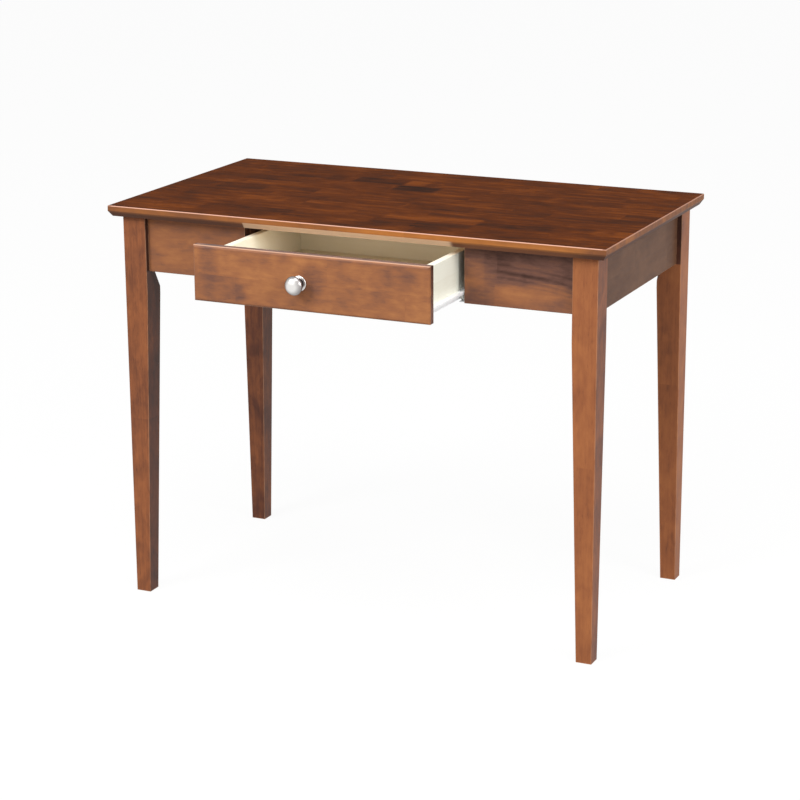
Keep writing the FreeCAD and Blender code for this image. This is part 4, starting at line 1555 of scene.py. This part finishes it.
@dataclass
class Stage:
    """Floor, light and camera."""

    floor_size: float = 80.0
    floor_tint: Tint = Tint(250, 250, 249)
    floor_bounce: Tint = Tint(150, 150, 148)
    floor_glow: float = 0.93
    ambient: float = 0.54
    lamps: tuple[Lamp, ...] = (
        Lamp("key", power=110.0, size=2.0, distance=4.5, turn=-28.0, rise=33.0),
        Lamp("fill", power=96.0, size=2.4, distance=4.5, turn=70.0, rise=22.0),
        Lamp("overhead", power=90.0, size=2.4, distance=4.5, turn=20.0, rise=62.0))
    aim: tuple[float, float, float] = (0.0, -0.05, 0.5)
    lens: float = 104.602
    sensor: float = 36.0
    sight: float = 200.0
    eye: tuple[float, float, float] = (1.6608, -3.6357, 1.4910)
    yaw: float = -0.4327
    pitch: float = 0.2788
    roll: float = -0.0055

    def build(self) -> None:
        """Set out the studio."""
        self.floor()
        self.world()
        for lamp in self.lamps:
            lamp.hang(Vector(self.aim))
        self.camera()

    @staticmethod
    def seen(shader: Shader) -> Value:
        """Tell the rays that the background is shown to.

        Args:
            shader: The shader that asks.

        Returns:
            1 for such a ray and otherwise 0.
        """
        outputs = shader.node("ShaderNodeLightPath").outputs
        camera, glossy, through = (Value(shader, outputs[f"Is {ray} Ray"]) for ray in (
            "Camera", "Glossy", "Transmission"))
        return camera.upper(glossy).upper(through)

    def floor(self) -> None:
        """Lay the pale floor, which shows white round the desk's shadow and throws back less light."""
        deselect()
        bpy.ops.mesh.primitive_plane_add(size=self.floor_size, location=(0, 0, 0))
        floor = bpy.context.object
        floor.name = "floor"
        shader, made = Shader.material("pale_floor")
        dim, matt = (shader.node("ShaderNodeBsdfDiffuse", None, {"Color": tint.linear()}).outputs[0]
                     for tint in (self.floor_bounce, self.floor_tint))
        white = shader.node("ShaderNodeEmission", None, {"Color": (1, 1, 1, 1), "Strength": 1.0}).outputs[0]
        shown = shader.node("ShaderNodeMixShader", None, {0: self.floor_glow, 1: matt, 2: white}).outputs[0]
        both = shader.node("ShaderNodeMixShader", None, {0: self.seen(shader), 1: dim, 2: shown})
        shader.node("ShaderNodeOutputMaterial", None, {"Surface": both.outputs[0]})
        floor.data.materials.append(made)

    def world(self) -> None:
        """Make the white background and the even light."""
        world = bpy.data.worlds.new("studio")
        world.use_nodes = True
        bpy.context.scene.world = world
        shader = Shader(world.node_tree)
        light, white = (shader.node("ShaderNodeBackground", None, {
            "Color": (1, 1, 1, 1), "Strength": strength}).outputs[0] for strength in (self.ambient, 1.0))
        both = shader.node("ShaderNodeMixShader", None, {0: self.seen(shader), 1: light, 2: white})
        shader.node("ShaderNodeOutputWorld", None, {"Surface": both.outputs[0]})

    def camera(self) -> None:
        """Set the camera at the photographed angle."""
        level, down = math.cos(self.pitch), math.sin(self.pitch)
        forward = Vector((math.sin(self.yaw) * level, math.cos(self.yaw) * level, -down))
        right = Vector((math.cos(self.yaw), -math.sin(self.yaw), 0.0))
        up = right.cross(forward)
        c, s = math.cos(self.roll), math.sin(self.roll)
        turn = Matrix((c * right + s * up, c * up - s * right, -forward)).transposed().to_4x4()
        data = bpy.data.cameras.new("camera")
        data.sensor_width = self.sensor
        data.lens = self.lens
        data.clip_end = self.sight
        camera = bpy.data.objects.new("camera", data)
        camera.matrix_world = Matrix.Translation(self.eye) @ turn
        bpy.context.scene.collection.objects.link(camera)
        bpy.context.scene.camera = camera


def main() -> None:
    """Build the desk's looks, piece by piece."""
    logging.basicConfig(level=logging.INFO, format="%(name)s: %(message)s")
    bpy.context.scene.view_settings.view_transform = "Standard"
    steel = ZINC.make()
    Stage().build()
    Desktop().build()
    LegFrame().build()
    Fasteners(steel).build()
    Drawer(steel).build()
    Knob(steel).build()
    Slides(steel, POWDER_COAT.make(), NYLON.make()).build()


if __name__ == "__main__":
    main()
